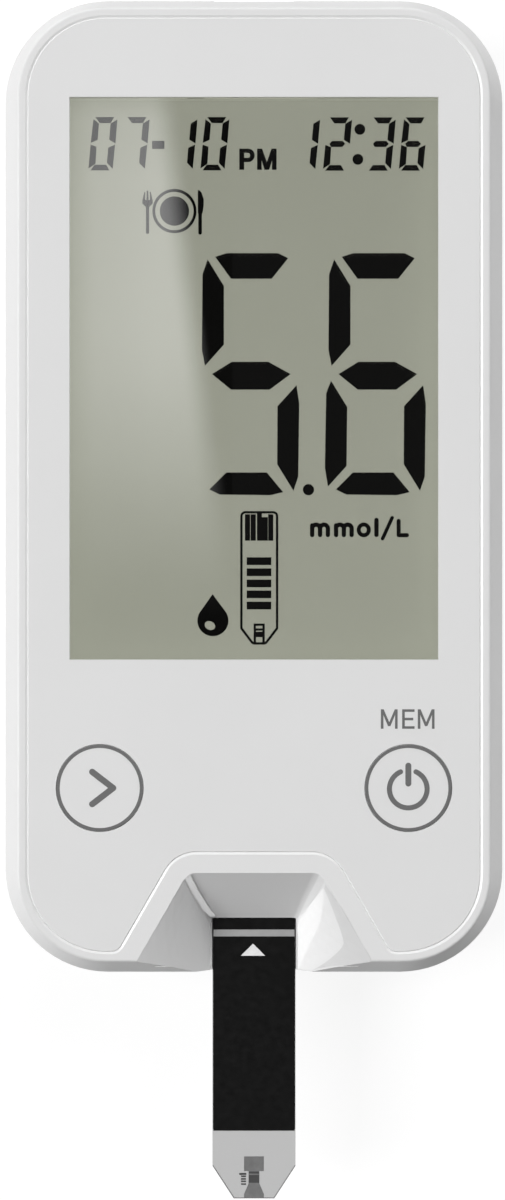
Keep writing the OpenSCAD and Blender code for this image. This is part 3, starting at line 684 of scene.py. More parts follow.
@dataclass(frozen=True)
class SolderMask(Finish):
    """A circuit board's lacquer over its copper.

    Attributes:
        over_copper: the lacquer's colour where copper lies under it.
    """

    over_copper: Rgb = (0.02, 0.16, 0.05)

    def surface(self, board: Board, shader: bpy.types.Node) -> Socket:
        """Tracks show through the lacquer and raise it a little.

        Args:
            board: the material's tree.
            shader: its Principled node.

        Returns:
            The socket that the surface shows.
        """
        copper = BoardTracks.place_in(board)["Copper"]
        mixed = board.blend(copper, rgba(self.colour), rgba(self.over_copper))
        board.feed(shader.inputs["Base Color"], mixed)
        self.sheen(board, shader, MouldGrain.place_in(board, grain_size=0.0004)["Gloss"], 0.06)
        self.emboss(board, shader, copper, 0.00002)
        return shader.outputs[0]


WHITE = shade(222)
HOUSING = MouldedPlastic("housing_plastic", WHITE, 0.46, edge_width=0.0004, gloss=0.1, polish=0.2)
RIDGE = MouldedPlastic("ridge_plastic", WHITE, 0.4, grain_depth=0.000002, polish=1.0, polish_rough=0.12)
# The shoulder's darker grey is painted shade on the housing plastic beside the port's right facet; it is also
# a little less polished.
SHOULDER_SHADE = MouldedPlastic("shoulder_painted_shade", shade(210), 0.5, gloss=0.1, polish=0.1)
# The seam fill covers the gap round the front panel so the gap's shade doesn't show, and its grey is lighter
# than the housing: painted light. Its V-shaped walls are still shaded by the lamps.
SEAM_FILL = MouldedPlastic("seam_fill_painted_light", shade(228), 0.4, grain_depth=0.000001, polish=0.3)
BACK = MouldedPlastic("back_plastic", shade(221), 0.52, grain_depth=0.00001, edge_width=0.0004)
PANEL = MouldedPlastic("panel_plastic", WHITE, 0.42, grain_size=0.0002, grain_depth=0.000002, polish=0.3)
KEYCAP = MouldedPlastic("key_plastic", WHITE, 0.42, grain_size=0.0002, grain_depth=0.000002, polish=0.3)
INNER_WHITE = MouldedPlastic("inner_white_plastic", shade(214, 215, 212), 0.5)
INNER_BLACK = MouldedPlastic("inner_black_plastic", shade(34, 34, 36), 0.48, tone_spread=0.12)
CERAMIC = MouldedPlastic("ceramic", shade(150, 128, 96), 0.6, grain_size=0.0001, tone_spread=0.1)
FOAM = MouldedPlastic("foam", shade(58, 58, 60), 0.9, grain_size=0.0003, grain_depth=0.00006)
WINDOW = ClearSheet("window_plastic", (0.96, 0.965, 0.96), 0.005, hard_coat=1.0)
LCD_GLASS = ClearSheet("display_glass", (0.93, 0.96, 0.94), 0.02, bend=1.52)
POLARISER = OpticalFilm("polariser_film", shade(163, 164, 150), 0.55, gloss=0.1)
REFLECTOR = OpticalFilm("reflector_film", shade(190, 191, 184), 0.35, sparkle=0.05)
SEGMENT = OpticalFilm("segment_dark", shade(9, 9, 8), 0.5, sparkle=0.02, gloss=0.0)
GREY_INK = PrintedInk("grey_ink", shade(104), 0.5)
STEEL = RolledMetal("steel_sheet", (0.55, 0.55, 0.56), 0.34)
GOLD = RolledMetal("gold_plating", (0.9, 0.68, 0.3), 0.3, line_size=0.00005)
SCREW = RolledMetal("screw_steel", (0.5, 0.5, 0.51), 0.36)
LACQUER = SolderMask("board_lacquer", (0.012, 0.09, 0.03), 0.34)
STRIP_FILM = OpticalFilm("strip_film", shade(190), 0.38, sparkle=0.02)
STRIP_BLACK = PrintedInk("strip_black", shade(18), 0.36, drift=0.08, gloss=0.25)
STRIP_GREY = PrintedInk("strip_grey", shade(165), 0.45)
STRIP_WHITE = PrintedInk("strip_white", shade(232), 0.5)
CARBON = PrintedInk("carbon_ink", shade(116), 0.4, drift=0.1)
REAGENT = PrintedInk("reagent_ink", shade(66), 0.5, drift=0.1)


# --------------------------------------------------------------- flat artwork


class Cap(Enum):
    """How a drawn line ends."""

    ROUND = "round"
    FLAT = "flat"


def arc(centre: Point, radius: float | Point, start: float, end: float, steps: int = 16) -> Outline:
    """Points along an arc.

    Args:
        centre: the arc's middle.
        radius: its radius, or its two half axes.
        start: where it starts, in degrees from +X.
        end: where it ends, in degrees.
        steps: how many chords it has.

    Returns:
        The points, both ends among them.
    """
    wide, tall = radius if isinstance(radius, tuple) else (radius, radius)
    turns = [math.radians(start + (end - start) * i / steps) for i in range(steps + 1)]
    return [(centre[0] + wide * math.cos(t), centre[1] + tall * math.sin(t)) for t in turns]


def disc(centre: Point, radius: float | Point, steps: int = 48, tilt: float = 0.0) -> Outline:
    """A closed circle or ellipse.

    Args:
        centre: its middle.
        radius: its radius, or its two half axes.
        steps: how many corners it has.
        tilt: how far it is turned, in degrees.

    Returns:
        One closed outline.
    """
    points = arc((0, 0), radius, 0, 360, steps)[:-1]
    c, s = math.cos(math.radians(tilt)), math.sin(math.radians(tilt))
    return [(centre[0] + x * c - y * s, centre[1] + x * s + y * c) for x, y in points]


def bar(left: float, low: float, right: float, high: float) -> Outline:
    """A closed rectangle."""
    return [(left, low), (right, low), (right, high), (left, high)]


def stroke(path: Sequence[Point], width: float, cap: Cap = Cap.ROUND) -> Outline:
    """The outline of a line drawn with a round or a flat pen. A sharp corner is round on its outside.

    Args:
        path: the line's points.
        width: the pen's width.
        cap: how the line ends.

    Returns:
        One closed outline.
    """
    half, sharp, least_cosine = width / 2, 0.3, 0.2
    line = [Vector(p) for p in path]
    ways = [(b - a).normalized() for a, b in zip(line, line[1:])]
    sides = [Vector((-w.y, w.x)) for w in ways]
    left, right = [], []
    for i, point in enumerate(line):
        first, last = sides[max(i - 1, 0)], sides[min(i, len(sides) - 1)]
        middle = (first + last).normalized()
        reach = middle * (half / max(middle.dot(last), least_cosine))
        turn = first.x * last.y - first.y * last.x
        outer, sign = (right, -1) if turn > 0 else (left, 1)
        if abs(turn) > sharp:
            angles = [math.atan2(sign * v.y, sign * v.x) for v in (first, last)]
            sweep = (angles[1] - angles[0] + math.pi) % math.tau - math.pi
            start = math.degrees(angles[0])
            outer += [Vector(p) for p in arc(tuple(point), half, start, start + math.degrees(sweep), 8)]
        else:
            outer.append(point + reach * sign)
        (left if turn > 0 else right).append(point - reach * sign)
    if cap is Cap.FLAT:
        return [(p.x, p.y) for p in left + right[::-1]]
    ends = [math.degrees(math.atan2(way.y, way.x)) for way in (ways[-1], ways[0])]
    out = [(p.x, p.y) for p in left]
    out += arc(tuple(line[-1]), half, ends[0] + 90, ends[0] - 90, 12)[1:-1]
    out += [(p.x, p.y) for p in right[::-1]]
    return out + arc(tuple(line[0]), half, ends[1] - 90, ends[1] - 270, 12)[1:-1]


def moved(outline: Iterable[Point], dx: float, dy: float) -> Outline:
    """The outline, moved."""
    return [(x + dx, y + dy) for x, y in outline]


def holds(outline: Outline, point: Point) -> bool:
    """Whether a closed outline has a point in it.

    Args:
        outline: the outline.
        point: the point.

    Returns:
        True if it lies inside.
    """
    inside = False
    for (ax, ay), (bx, by) in zip(outline, outline[1:] + outline[:1]):
        if (ay > point[1]) != (by > point[1]) and point[0] < ax + (point[1] - ay) * (bx - ax) / (by - ay):
            inside = not inside
    return inside


def grown(outlines: Sequence[Outline], by: float) -> list[Outline]:
    """Makes a flat mark bolder.

    Args:
        outlines: its closed outlines, holes among them.
        by: how far each border moves out of the mark.

    Returns:
        The moved outlines.
    """
    out = []
    for outline in outlines:
        ring = [Vector(p) for p in outline]
        area = sum(a.x * b.y - a.y * b.x for a, b in zip(ring, ring[1:] + ring[:1]))
        hole = sum(holds(other, outline[0]) for other in outlines if other is not outline) % 2
        side = by if (area > 0) != bool(hole) else -by
        border = []
        for before, here, after in zip(ring[-1:] + ring[:-1], ring, ring[1:] + ring[:1]):
            first, last = (here - before).normalized(), (after - here).normalized()
            middle = Vector((first.y + last.y, -first.x - last.x)).normalized()
            reach = side / max(middle.x * last.y - middle.y * last.x, 0.5)
            border.append(tuple(here + middle * reach))
        out.append(border)
    return out


def letter_m(corner: Point, size: Point, stem: float, dip: float, foot: float) -> Outline:
    """A capital M.

    Args:
        corner: its lower left corner.
        size: its width and height.
        stem: the width of its strokes.
        dip: how far the middle's point stays above the baseline.
        foot: half the width of that point.

    Returns:
        One closed outline.
    """
    wide, tall = size
    middle, slope = wide / 2, (tall - dip) / (wide / 2 - foot)
    shoulder = stem * 1.12
    notch = tall - (middle - shoulder) * slope
    inside = tall - stem * slope * 0.98
    points = [(0, 0), (0, tall), (shoulder, tall), (middle, notch), (wide - shoulder, tall), (wide, tall)]
    points += [(wide, 0), (wide - stem, 0), (wide - stem, inside), (middle + foot, dip), (middle - foot, dip)]
    return moved(points + [(stem, inside), (stem, 0)], *corner)


def small_m(stems: tuple[float, float, float], low: float, tall: float, pen: float) -> Outline:
    """A small m drawn with a round pen.

    Args:
        stems: the middles of its three stems.
        low: its baseline.
        tall: its height.
        pen: the pen's width.

    Returns:
        One closed outline.
    """
    half, gap = pen / 2, (stems[2] - stems[0]) / 2
    outer, inner = (gap + pen) / 2, (gap - pen) / 2
    spring = low + tall - outer
    meet = math.degrees(math.acos(gap / 2 / outer))
    points = [(stems[0] - half, low + half)]
    top = spring + outer * math.sin(math.radians(meet)) - half * 0.55
    points += arc((stems[0], top), half, 180, 80, 8)
    points += arc((stems[0] + gap / 2, spring), outer, 180 - meet - 8, meet, 12)
    points += arc((stems[1] + gap / 2, spring), outer, 180 - meet, 0, 18)
    points += arc((stems[2], low + half), half, 0, -180, 8)
    points += arc((stems[1] + gap / 2, spring), inner, 0, 180, 12)
    points += arc((stems[1], low + half), half, 0, -180, 8)
    points += arc((stems[0] + gap / 2, spring), inner, 0, 180, 12)
    points += arc((stems[0], low + half), half, 0, -180, 8)[:-1]
    return points


def solid(name: str, shape: bmesh.types.BMesh) -> bpy.types.Object:
    """Turns a finished mesh into a piece.

    Args:
        name: the piece's name.
        shape: its mesh, in metres, which is used up.

    Returns:
        The new piece, with its place in its mesh.
    """
    bmesh.ops.recalc_face_normals(shape, faces=shape.faces)
    mesh = bpy.data.meshes.new(name)
    shape.to_mesh(mesh)
    shape.free()
    piece = bpy.data.objects.new(name, mesh)
    bpy.context.scene.collection.objects.link(piece)
    return piece


def plate(name: str, outlines: Sequence[Outline], low: float, high: float) -> bpy.types.Object:
    """A thin flat piece cut to outlines; an outline inside another is a hole.

    Args:
        name: the piece's name.
        outlines: closed outlines, in millimetres.
        low: its underside, in millimetres.
        high: its top, in millimetres.

    Returns:
        The new piece, with its place in its mesh.
    """
    curve = bpy.data.curves.new(name, "CURVE")
    curve.dimensions, curve.fill_mode = "2D", "BOTH"
    curve.extrude = (high - low) / 2
    for outline in outlines:
        spline = curve.splines.new("POLY")
        spline.points.add(len(outline) - 1)
        for point, (x, y) in zip(spline.points, outline):
            point.co = (x, y, 0, 1)
        spline.use_cyclic_u = True
    drawn = bpy.data.objects.new(name + "_drawn", curve)
    bpy.context.scene.collection.objects.link(drawn)
    graph = bpy.context.evaluated_depsgraph_get()
    mesh = bpy.data.meshes.new_from_object(drawn.evaluated_get(graph))
    bpy.data.objects.remove(drawn)
    bpy.data.curves.remove(curve)
    shape = bmesh.new()
    shape.from_mesh(mesh)
    bmesh.ops.remove_doubles(shape, verts=shape.verts, dist=WELD)
    for vertex in shape.verts:
        vertex.co = Vector((vertex.co.x, vertex.co.y, vertex.co.z + (low + high) / 2)) * MM
    bpy.data.meshes.remove(mesh)
    return solid(name, shape)


def slab(name: str, outline: Outline, plane: tuple[float, float, float], depth: float) -> bpy.types.Object:
    """A thin piece with a flat, slanting face.

    Args:
        name: the piece's name.
        outline: the face's corners seen from above, in millimetres.
        plane: the face's height over the origin, and its slope along X and Y.
        depth: how thick the piece is, in millimetres.

    Returns:
        The new piece, with its place in its mesh.
    """
    shape = bmesh.new()
    levels = [plane[0] + plane[1] * x + plane[2] * y for x, y in outline]
    face = [shape.verts.new(Vector((x, y, level)) * MM) for (x, y), level in zip(outline, levels)]
    back = [shape.verts.new(Vector((x, y, level - depth)) * MM) for (x, y), level in zip(outline, levels)]
    shape.faces.new(face)
    shape.faces.new(back[::-1])
    for i in range(len(face)):
        shape.faces.new((face[i], face[i - 1], back[i - 1], back[i]))
    return solid(name, shape)


def hoop(name: str, rows: Sequence[tuple[Outline, float]]) -> bpy.types.Object:
    """A closed ring of any outline.

    Args:
        name: the piece's name.
        rows: the outline and the height, in millimetres, of each corner of its section, in order.

    Returns:
        The new piece, with its place in its mesh.
    """
    shape = bmesh.new()
    rings = [[shape.verts.new(Vector((x, y, level)) * MM) for x, y in outline] for outline, level in rows]
    for ring, after in zip(rings, rings[1:] + rings[:1]):
        for i, corner in enumerate(ring):
            shape.faces.new((ring[i - 1], corner, after[i], after[i - 1]))
    return solid(name, shape)


def eased(points: Sequence[Point], steps: int) -> Outline:
    """A smooth line through points.

    Args:
        points: the points.
        steps: how many chords lie between each two.

    Returns:
        The line's points.
    """
    ends = [points[0], *points, points[-1]]
    line = []
    for four in zip(ends, ends[1:], ends[2:], ends[3:]):
        for t in (step / steps for step in range(steps)):
            place = (
                b + t * ((c - a) + t * (2 * a - 5 * b + 4 * c - d + t * (3 * b - a - 3 * c + d))) / 2
                for a, b, c, d in zip(*four)
            )
            line.append(tuple(place))
    return line + [tuple(points[-1])]


def skin(
    name: str,
    sides: tuple[Outline, Outline],
    over: bpy.types.Object,
    proud: float,
    depth: float,
    columns: int = 14,
) -> bpy.types.Object:
    """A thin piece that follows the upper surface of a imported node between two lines.

    Args:
        name: the piece's name.
        sides: the two lines, seen from above, with the same number of points, in millimetres.
        over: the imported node.
        proud: how far it stands out of the surface, in millimetres.
        depth: how deep it is let in, in millimetres.
        columns: how many faces lie between the lines.

    Returns:
        The new piece, with its place in its mesh.
    """
    surface = bmesh.new()
    surface.from_mesh(over.data)
    tree = BVHTree.FromBMesh(surface)
    surface.free()
    shape = bmesh.new()
    layers: list[list[list[bmesh.types.BMVert]]] = [[], []]
    for start, end in zip(*sides):
        places = [Vector(start).lerp(Vector(end), i / columns) * MM for i in range(columns + 1)]
        spots = [tree.ray_cast(Vector((*place, RAY_START)), Vector((0, 0, -1)))[0] for place in places]
        for layer, lift in zip(layers, (proud, -depth)):
            layer.append([shape.verts.new(spot + Vector((0, 0, lift * MM))) for spot in spots])
    rows = len(layers[0])
    for layer in layers:
        for i in range(1, rows):
            for j in range(1, columns + 1):
                shape.faces.new((layer[i - 1][j - 1], layer[i][j - 1], layer[i][j], layer[i - 1][j]))
    rim = [(0, j) for j in range(columns)] + [(i, columns) for i in range(rows - 1)]
    rim += [(rows - 1, j) for j in range(columns, 0, -1)] + [(i, 0) for i in range(rows - 1, 0, -1)]
    for (i, j), (k, m) in zip(rim, rim[1:] + rim[:1]):
        shape.faces.new((layers[0][i][j], layers[0][k][m], layers[1][k][m], layers[1][i][j]))
    return solid(name, shape)


def top_outline(node: bpy.types.Object) -> Outline:
    """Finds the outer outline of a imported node's flat top.

    Args:
        node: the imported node.

    Returns:
        The outline, in millimetres.
    """
    shape = bmesh.new()
    shape.from_mesh(node.data)
    bmesh.ops.remove_doubles(shape, verts=shape.verts, dist=SAME_SPOT)
    top = max(vertex.co.z for vertex in shape.verts)
    flat = {face for face in shape.faces if all(top - vertex.co.z < SAME_LEVEL for vertex in face.verts)}
    near: dict[bmesh.types.BMVert, list[bmesh.types.BMVert]] = {}
    for edge in shape.edges:
        if len(flat.intersection(edge.link_faces)) == 1:
            first, last = edge.verts
            near.setdefault(first, []).append(last)
            near.setdefault(last, []).append(first)
    here = max(near, key=lambda vertex: vertex.co.y)
    line = [here]
    while True:
        ahead = [vertex for vertex in near[here] if vertex not in line[-2:]]
        if not ahead or ahead[0] is line[0]:
            break
        here = ahead[0]
        line.append(here)
    outline = [(vertex.co.x / MM, vertex.co.y / MM) for vertex in line]
    shape.free()
    return outline


def nodes(*names: str) -> list[bpy.types.Object]:
    """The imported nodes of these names."""
    return [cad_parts[name] for name in names]


@dataclass
class SubAssembly:
    """A part of the meter that is built and dressed together.

    Attributes:
        made: the names of the pieces that it has added.
    """

    made: list[str] = field(default_factory=list)

    def add(
        self, name: str, outlines: Sequence[Outline], low: float, high: float, finish: Finish, body: str
    ) -> None:
        """Builds one flat piece, dresses it and sets it on its body."""
        self.keep(plate(name, outlines, low, high), finish, body)

    def keep(self, piece: bpy.types.Object, finish: Finish, body: str) -> None:
        """Dresses a piece and sets it on its body.

        Args:
            piece: the new piece.
            finish: what it is made of.
            body: the body that it moves with.
        """
        finish.dress(piece)
        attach(piece, body)
        self.made.append(piece.name)

    def build(self) -> None:
        """Adds the sub-assembly's own pieces."""

    def dress(self) -> None:
        """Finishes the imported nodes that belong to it."""


# ------------------------------------------------------------- sub-assemblies


@dataclass
class Housing(SubAssembly):
    """The two shells, the front panel, the battery door and the screws.

    Attributes:
        ridge_face: the flat ridge in the port's left corner, seen from above, in millimetres.
        ridge_plane: its height over the origin, and its slope along X and Y.
        ridge_depth: how deep it is let in.
        cheek_inner: the side towards the strip of the smooth cheek on the port's right facet.
        cheek_crease: the soft crease down the cheek, with a point for each of the others.
        cheek_outer: the cheek's outer side.
        shoulder: the outer side of the shoulder beyond the cheek, a piece whose darker grey is painted shade.
        skin_steps: how many chords of these lines lie between two of their points.
        skin_proud: how far the cheek and the shoulder stand out of the shell.
        skin_depth: how deep they are let in.
        seam_width: the width of the seam round the front panel.
        seam_low: where the seam's light fill is lowest, as a share of the width from the panel.
        seam_dip: how far it lies under the surface there.
        seam_rim: how far its two borders stand over the surface.
        seam_depth: how deep the fill goes.
    """

    ridge_face: tuple[Point, ...] = (
        (-6.3, -38.72), (-6.82, -39.13), (-6.28, -40.33), (-5.71, -41.46), (-5.13, -42.6),
        (-4.45, -43.4), (-3.85, -43.4), (-4.33, -42.66), (-5.01, -41.51), (-5.59, -40.38),
    )
    ridge_plane: tuple[float, float, float] = (35.85, -0.516, 0.648)
    ridge_depth: float = 0.13
    cheek_inner: tuple[Point, ...] = (
        (6.9, -40.0), (6.0, -41.44), (5.03, -42.85), (4.47, -43.8), (4.47, -46.4), (4.47, -48.7),
    )
    cheek_crease: tuple[Point, ...] = (
        (6.93, -40.05), (6.84, -42.1), (6.6, -43.7), (6.0, -45.2), (5.35, -46.7), (4.55, -48.7),
    )
    cheek_outer: tuple[Point, ...] = (
        (6.97, -40.1), (7.97, -42.56), (8.84, -45.09), (8.7, -46.1), (7.29, -47.62), (5.9, -48.68),
    )
    shoulder: tuple[Point, ...] = (
        (7.1, -39.65), (9.05, -42.55), (10.62, -45.4), (11.56, -47.28), (9.3, -47.78), (6.9, -48.2),
    )
    skin_steps: int = 6
    skin_proud: float = 0.02
    skin_depth: float = 0.2
    seam_width: float = 0.33
    seam_low: float = 0.3
    seam_dip: float = 0.096
    seam_rim: float = 0.002
    seam_depth: float = 0.16

    def build(self) -> None:
        """Adds the port's ridge and cheek, the shoulder with its painted shade, and a light fill in the
        panel's seam that is partly painted light.
        """
        ridge = slab("port_ridge", list(self.ridge_face), self.ridge_plane, self.ridge_depth)
        self.keep(ridge, RIDGE, "meter")
        panel, shell = nodes("faceplate", "front_shell")
        borders = (self.cheek_inner, self.cheek_crease, self.cheek_outer, self.shoulder)
        lines = [eased(border, self.skin_steps) for border in borders]
        # The shoulder piece is painted shade: its darker grey stands in for the shade of the tilted facet
        # beside the cheek.
        names = ("port_cheek", "port_cheek_side", "port_shoulder_painted_shade")
        for name, inner, outer, finish in zip(names, lines, lines[1:], (HOUSING, HOUSING, SHOULDER_SHADE)):
            self.keep(skin(name, (inner, outer), shell, self.skin_proud, self.skin_depth), finish, "meter")
        top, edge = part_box("faceplate")[1].z / MM, top_outline(panel)
        rim, dip, floor = self.seam_rim, -self.seam_dip, -self.seam_depth
        rows = ((0.0, rim), (self.seam_low, dip), (1.0, rim), (1.0, floor), (0.0, floor))
        section = [(grown([edge], share * self.seam_width)[0], top + rise) for share, rise in rows]
        # The seam fill is painted light: a light sheet over the gap round the panel, in place of the gap's
        # shade.
        self.keep(hoop("panel_seam", section), SEAM_FILL, "meter")

    def dress(self) -> None:
        """White plastic outside, steel for the screws."""
        HOUSING.dress(*nodes("front_shell"))
        BACK.dress(*nodes("rear_shell", "battery_door"))
        PANEL.dress(*nodes("faceplate"))
        SCREW.dress(*nodes("case_screws", "board_screws"))


class Segment(Enum):
    """The seven bars of a digit, by their usual letters."""

    TOP = "a"
    UPPER_RIGHT = "b"
    LOWER_RIGHT = "c"
    BOTTOM = "d"
    LOWER_LEFT = "e"
    UPPER_LEFT = "f"
    MIDDLE = "g"


LIT: dict[str, str] = {
    "0": "abcdef", "1": "bc", "2": "abdeg", "3": "abcdg", "5": "acdfg", "6": "acdefg", "7": "abc",
}


@dataclass
class DigitFace:
    """One size of seven-segment digit, drawn right and down from its top left corner, in millimetres.

    Attributes:
        bars: each bar's outline.
        lean: how far the digit leans for each millimetre of height.
    """

    bars: dict[Segment, Outline]
    lean: float = 0.0

    def draw(self, digit: str, left: float, top: float) -> list[Outline]:
        """The lit bars of one digit, with its top left corner at a place on the display."""
        lit = [self.bars[s] for s in Segment if s.value in LIT[digit]]
        return [[(left + x - self.lean * y, top - y) for x, y in outline] for outline in lit]

    def row(self, digits: str, lefts: Sequence[float], top: float) -> list[Outline]:
        """The lit bars of several digits, each with its own left side."""
        return [lit for digit, left in zip(digits, lefts) for lit in self.draw(digit, left, top)]


SMALL_DIGIT = DigitFace(
    {
        Segment.TOP: [(0.215, 0), (1.955, 0), (1.72, 0.52), (0.67, 0.52)],
        Segment.UPPER_LEFT: [(0.02, 0.24), (0.53, 0.64), (0.565, 2.21), (-0.01, 2.48)],
        Segment.UPPER_RIGHT: [(2.34, 0.27), (2.38, 2.53), (1.8, 2.19), (1.78, 0.64)],
        Segment.LOWER_LEFT: [(0.0, 2.77), (0.53, 2.97), (0.6, 4.61), (0.02, 5.03)],
        Segment.LOWER_RIGHT: [(2.36, 2.78), (2.38, 5.06), (1.815, 4.52), (1.785, 3.07)],
        Segment.BOTTOM: [(0.59, 4.77), (1.7, 4.77), (2.03, 5.25), (0.29, 5.25)],
        Segment.MIDDLE: [(0.4, 2.61), (0.63, 2.36), (1.64, 2.36), (1.88, 2.61), (1.66, 2.88), (0.58, 2.88)],
    },
    lean=0.104,
)
LARGE_DIGIT = DigitFace(
    {
        Segment.TOP: [(1.58, 0.35), (2.7, 0), (7.79, 0), (8.76, 0.48), (7.15, 2.48), (3.12, 2.48)],
        Segment.UPPER_LEFT: [
            (0.77, 0.67), (2.35, 3.25), (2.35, 9.09), (0.52, 11.15), (0.23, 9.65), (0.29, 2.09),
        ],
        Segment.UPPER_RIGHT: [(9.2, 0.67), (9.8, 2.09), (9.7, 9.65), (9.4, 11.15), (7.7, 9.09), (7.7, 3.25)],
        Segment.MIDDLE: [
            (1.26, 12.06), (3.19, 10.87), (6.83, 10.87), (8.99, 12.06), (6.96, 13.57), (3.12, 13.57),
        ],
        Segment.LOWER_RIGHT: [
            (9.63, 13.25), (9.89, 15.02), (9.79, 22.3), (9.34, 23.65), (7.76, 21.07), (7.79, 15.28),
        ],
        Segment.LOWER_LEFT: [
            (0.45, 12.8), (2.03, 15.37), (1.96, 21.24), (0.16, 23.23), (-0.13, 21.4), (0, 13.99),
        ],
        Segment.BOTTOM: [
            (1.0, 23.59), (2.64, 21.94), (6.67, 21.94), (8.24, 23.84), (7.05, 24.13), (2.0, 24.07),
        ],
    }
)


@dataclass
class Display(SubAssembly):
    """The window and the liquid-crystal display behind it. Its artwork is measured from the display's middle.

    Attributes:
        centre: the artwork's middle, in millimetres.
        size: the artwork's size as a share of the sizes given here.
        ink: how thick a lit mark is.
        spread: how far a lit mark spreads beyond its electrode.
        layers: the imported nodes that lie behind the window.
    """

    centre: Point = (-0.3, 10.5)
    size: float = 0.9975
    ink: float = 0.03
    spread: float = 0.04
    layers: tuple[str, ...] = (
        "lcd_front_polariser", "lcd_front_glass", "lcd_rear_glass", "lcd_reflector",
    )

    def mark(self, name: str, outlines: Sequence[Outline]) -> None:
        """Sets one dark mark on the display's front.

        Args:
            name: the piece's name.
            outlines: its outlines, measured from the display's middle.
        """
        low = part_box("lcd_front_polariser")[1].z / MM
        left, base = self.centre
        bold = grown(outlines, self.spread)
        placed = [[(left + x * self.size, base + y * self.size) for x, y in outline] for outline in bold]
        self.add(name, placed, low, low + self.ink, SEGMENT, "meter")

    def build(self) -> None:
        """Draws what the display shows."""
        self.mark("lcd_date", self.date())
        self.mark("lcd_half_day", self.half_day())
        self.mark("lcd_clock", self.clock())
        self.mark("lcd_meal_mark", self.meal())
        self.mark("lcd_reading", self.reading())
        self.mark("lcd_unit", self.unit())
        self.mark("lcd_strip_mark", self.strip())
        self.mark("lcd_drop_mark", self.drop())

    @staticmethod
    def date() -> list[Outline]:
        """Month and day with a dash between them."""
        dash = bar(-9.85, 23.17, -8.7, 23.9)
        return [dash, *SMALL_DIGIT.row("0710", (-15.715, -12.495, -7.705, -4.515), 26.28)]

    @staticmethod
    def clock() -> list[Outline]:
        """Hours and minutes with a colon between them."""
        colon = [disc((10.89, 25.09), 0.5), disc((10.69, 22.09), 0.5)]
        return colon + SMALL_DIGIT.row("1236", (4.56, 7.755, 12.12, 15.34), 26.25)

    @staticmethod
    def half_day() -> list[Outline]:
        """The letters that say morning or afternoon.

        Returns:
            The first letter, the hole in it and the second letter.
        """
        left, low, high, stem, waist = -1.13, 21.09, 23.12, 0.41, 21.86
        bowl = (0.33 - 0.62, (high + waist) / 2)
        outer, inner = (0.62, (high - waist) / 2), (0.24, (high - waist) / 2 - 0.34)
        letter = [(left, low), (left + stem, low), (left + stem, waist)]
        letter += arc(bowl, outer, -90, 90, 14) + [(left, high)]
        hole = [(left + stem, bowl[1] - inner[1])] + arc(bowl, inner, -90, 90, 10)
        hole += [(left + stem, bowl[1] + inner[1])]
        return [letter, hole, letter_m((0.65, low), (1.87, high - low), 0.39, 0.0, 0.2)]

    @staticmethod
    def meal() -> list[Outline]:
        """A plate between a fork and a knife.

        Returns:
            The plate's three circles, the fork and the knife.
        """
        fork_axis, thinner = -10.35, -0.035
        fork = [(0.15, 14.78), (0.15, 17.32), (0.5, 17.66), (0.52, 17.9), (0.3, 18.9), (0.24, 18.9)]
        fork += [(0.25, 18.05), (0.1, 18.0), (0.07, 18.95)]
        half = [(fork_axis + x, y) for x, y in fork]
        other = [(fork_axis - x, y) for x, y in reversed(fork)]
        handle = arc((fork_axis, 14.78), 0.15, 180, 360, 8)[1:-1]
        knife = [(-5.28, 18.96), (-5.2, 18.98), (-4.96, 18.72), (-4.76, 18.07), (-4.78, 17.42), (-4.86, 16.8)]
        knife += [(-4.95, 16.66)] + arc((-5.09, 14.74), 0.14, 0, -180, 8) + [(-5.23, 16.6), (-5.28, 16.8)]
        circles = ((2.17, 72), (1.96, 72), (1.425, 64))
        plate_rings = [disc((-7.66, 16.92), radius, steps) for radius, steps in circles]
        return [*plate_rings, *grown([other + handle + half], thinner), knife]

    @staticmethod
    def reading() -> list[Outline]:
        """The large reading with its decimal point."""
        return LARGE_DIGIT.row("56", (-5.1, 7.56), 12.67) + [disc((5.75, -10.95), 0.52)]

    @staticmethod
    def unit() -> list[Outline]:
        """The unit of the reading.

        Returns:
            Its letters, from left to right, with the slash between them.
        """
        low, tall, pen = -15.66, 1.39, 0.36
        return [
            small_m((6.12, 6.91, 7.69), low, tall, pen),
            small_m((8.51, 9.29, 10.07), low, tall, pen),
            disc((11.28, -14.97), (0.67, 0.7)),
            disc((11.28, -14.97), (0.34, 0.37)),
            stroke([(12.55, -15.47), (12.55, -13.98)], pen),
            stroke([(13.16, -15.85), (14.12, -13.76)], 0.28),
            stroke([(14.77, -14.07), (14.77, -15.5), (15.6, -15.5)], 0.33),
        ]

    @staticmethod
    def strip() -> list[Outline]:
        """A test strip with its contacts, its fill bars and its sample window.

        Returns:
            The border's outer and inner side, and each mark within it.
        """
        left, right, top, low, shoulder, line = -1.04, 2.69, -13.13, -26.41, -24.85, 0.16
        tip, corner, bevel = (0.17, 1.47), 0.48, 0.12

        def border(shrink: float) -> Outline:
            """The strip's border.

            Args:
                shrink: how far it is drawn in.

            Returns:
                One closed outline.
            """
            radius, waist, knee = corner - shrink, shoulder + shrink * 0.45, low + bevel + shrink
            points = arc((right - corner, top - corner), radius, 0, 90, 8)
            points += arc((left + corner, top - corner), radius, 90, 180, 8)
            points += [(left + shrink, waist), (tip[0] - bevel + shrink * 0.5, knee)]
            points += [(tip[0] + 0.1, low + shrink), (tip[1] - 0.1, low + shrink)]
            return points + [(tip[1] + bevel - shrink * 0.5, knee), (right - shrink, waist)]

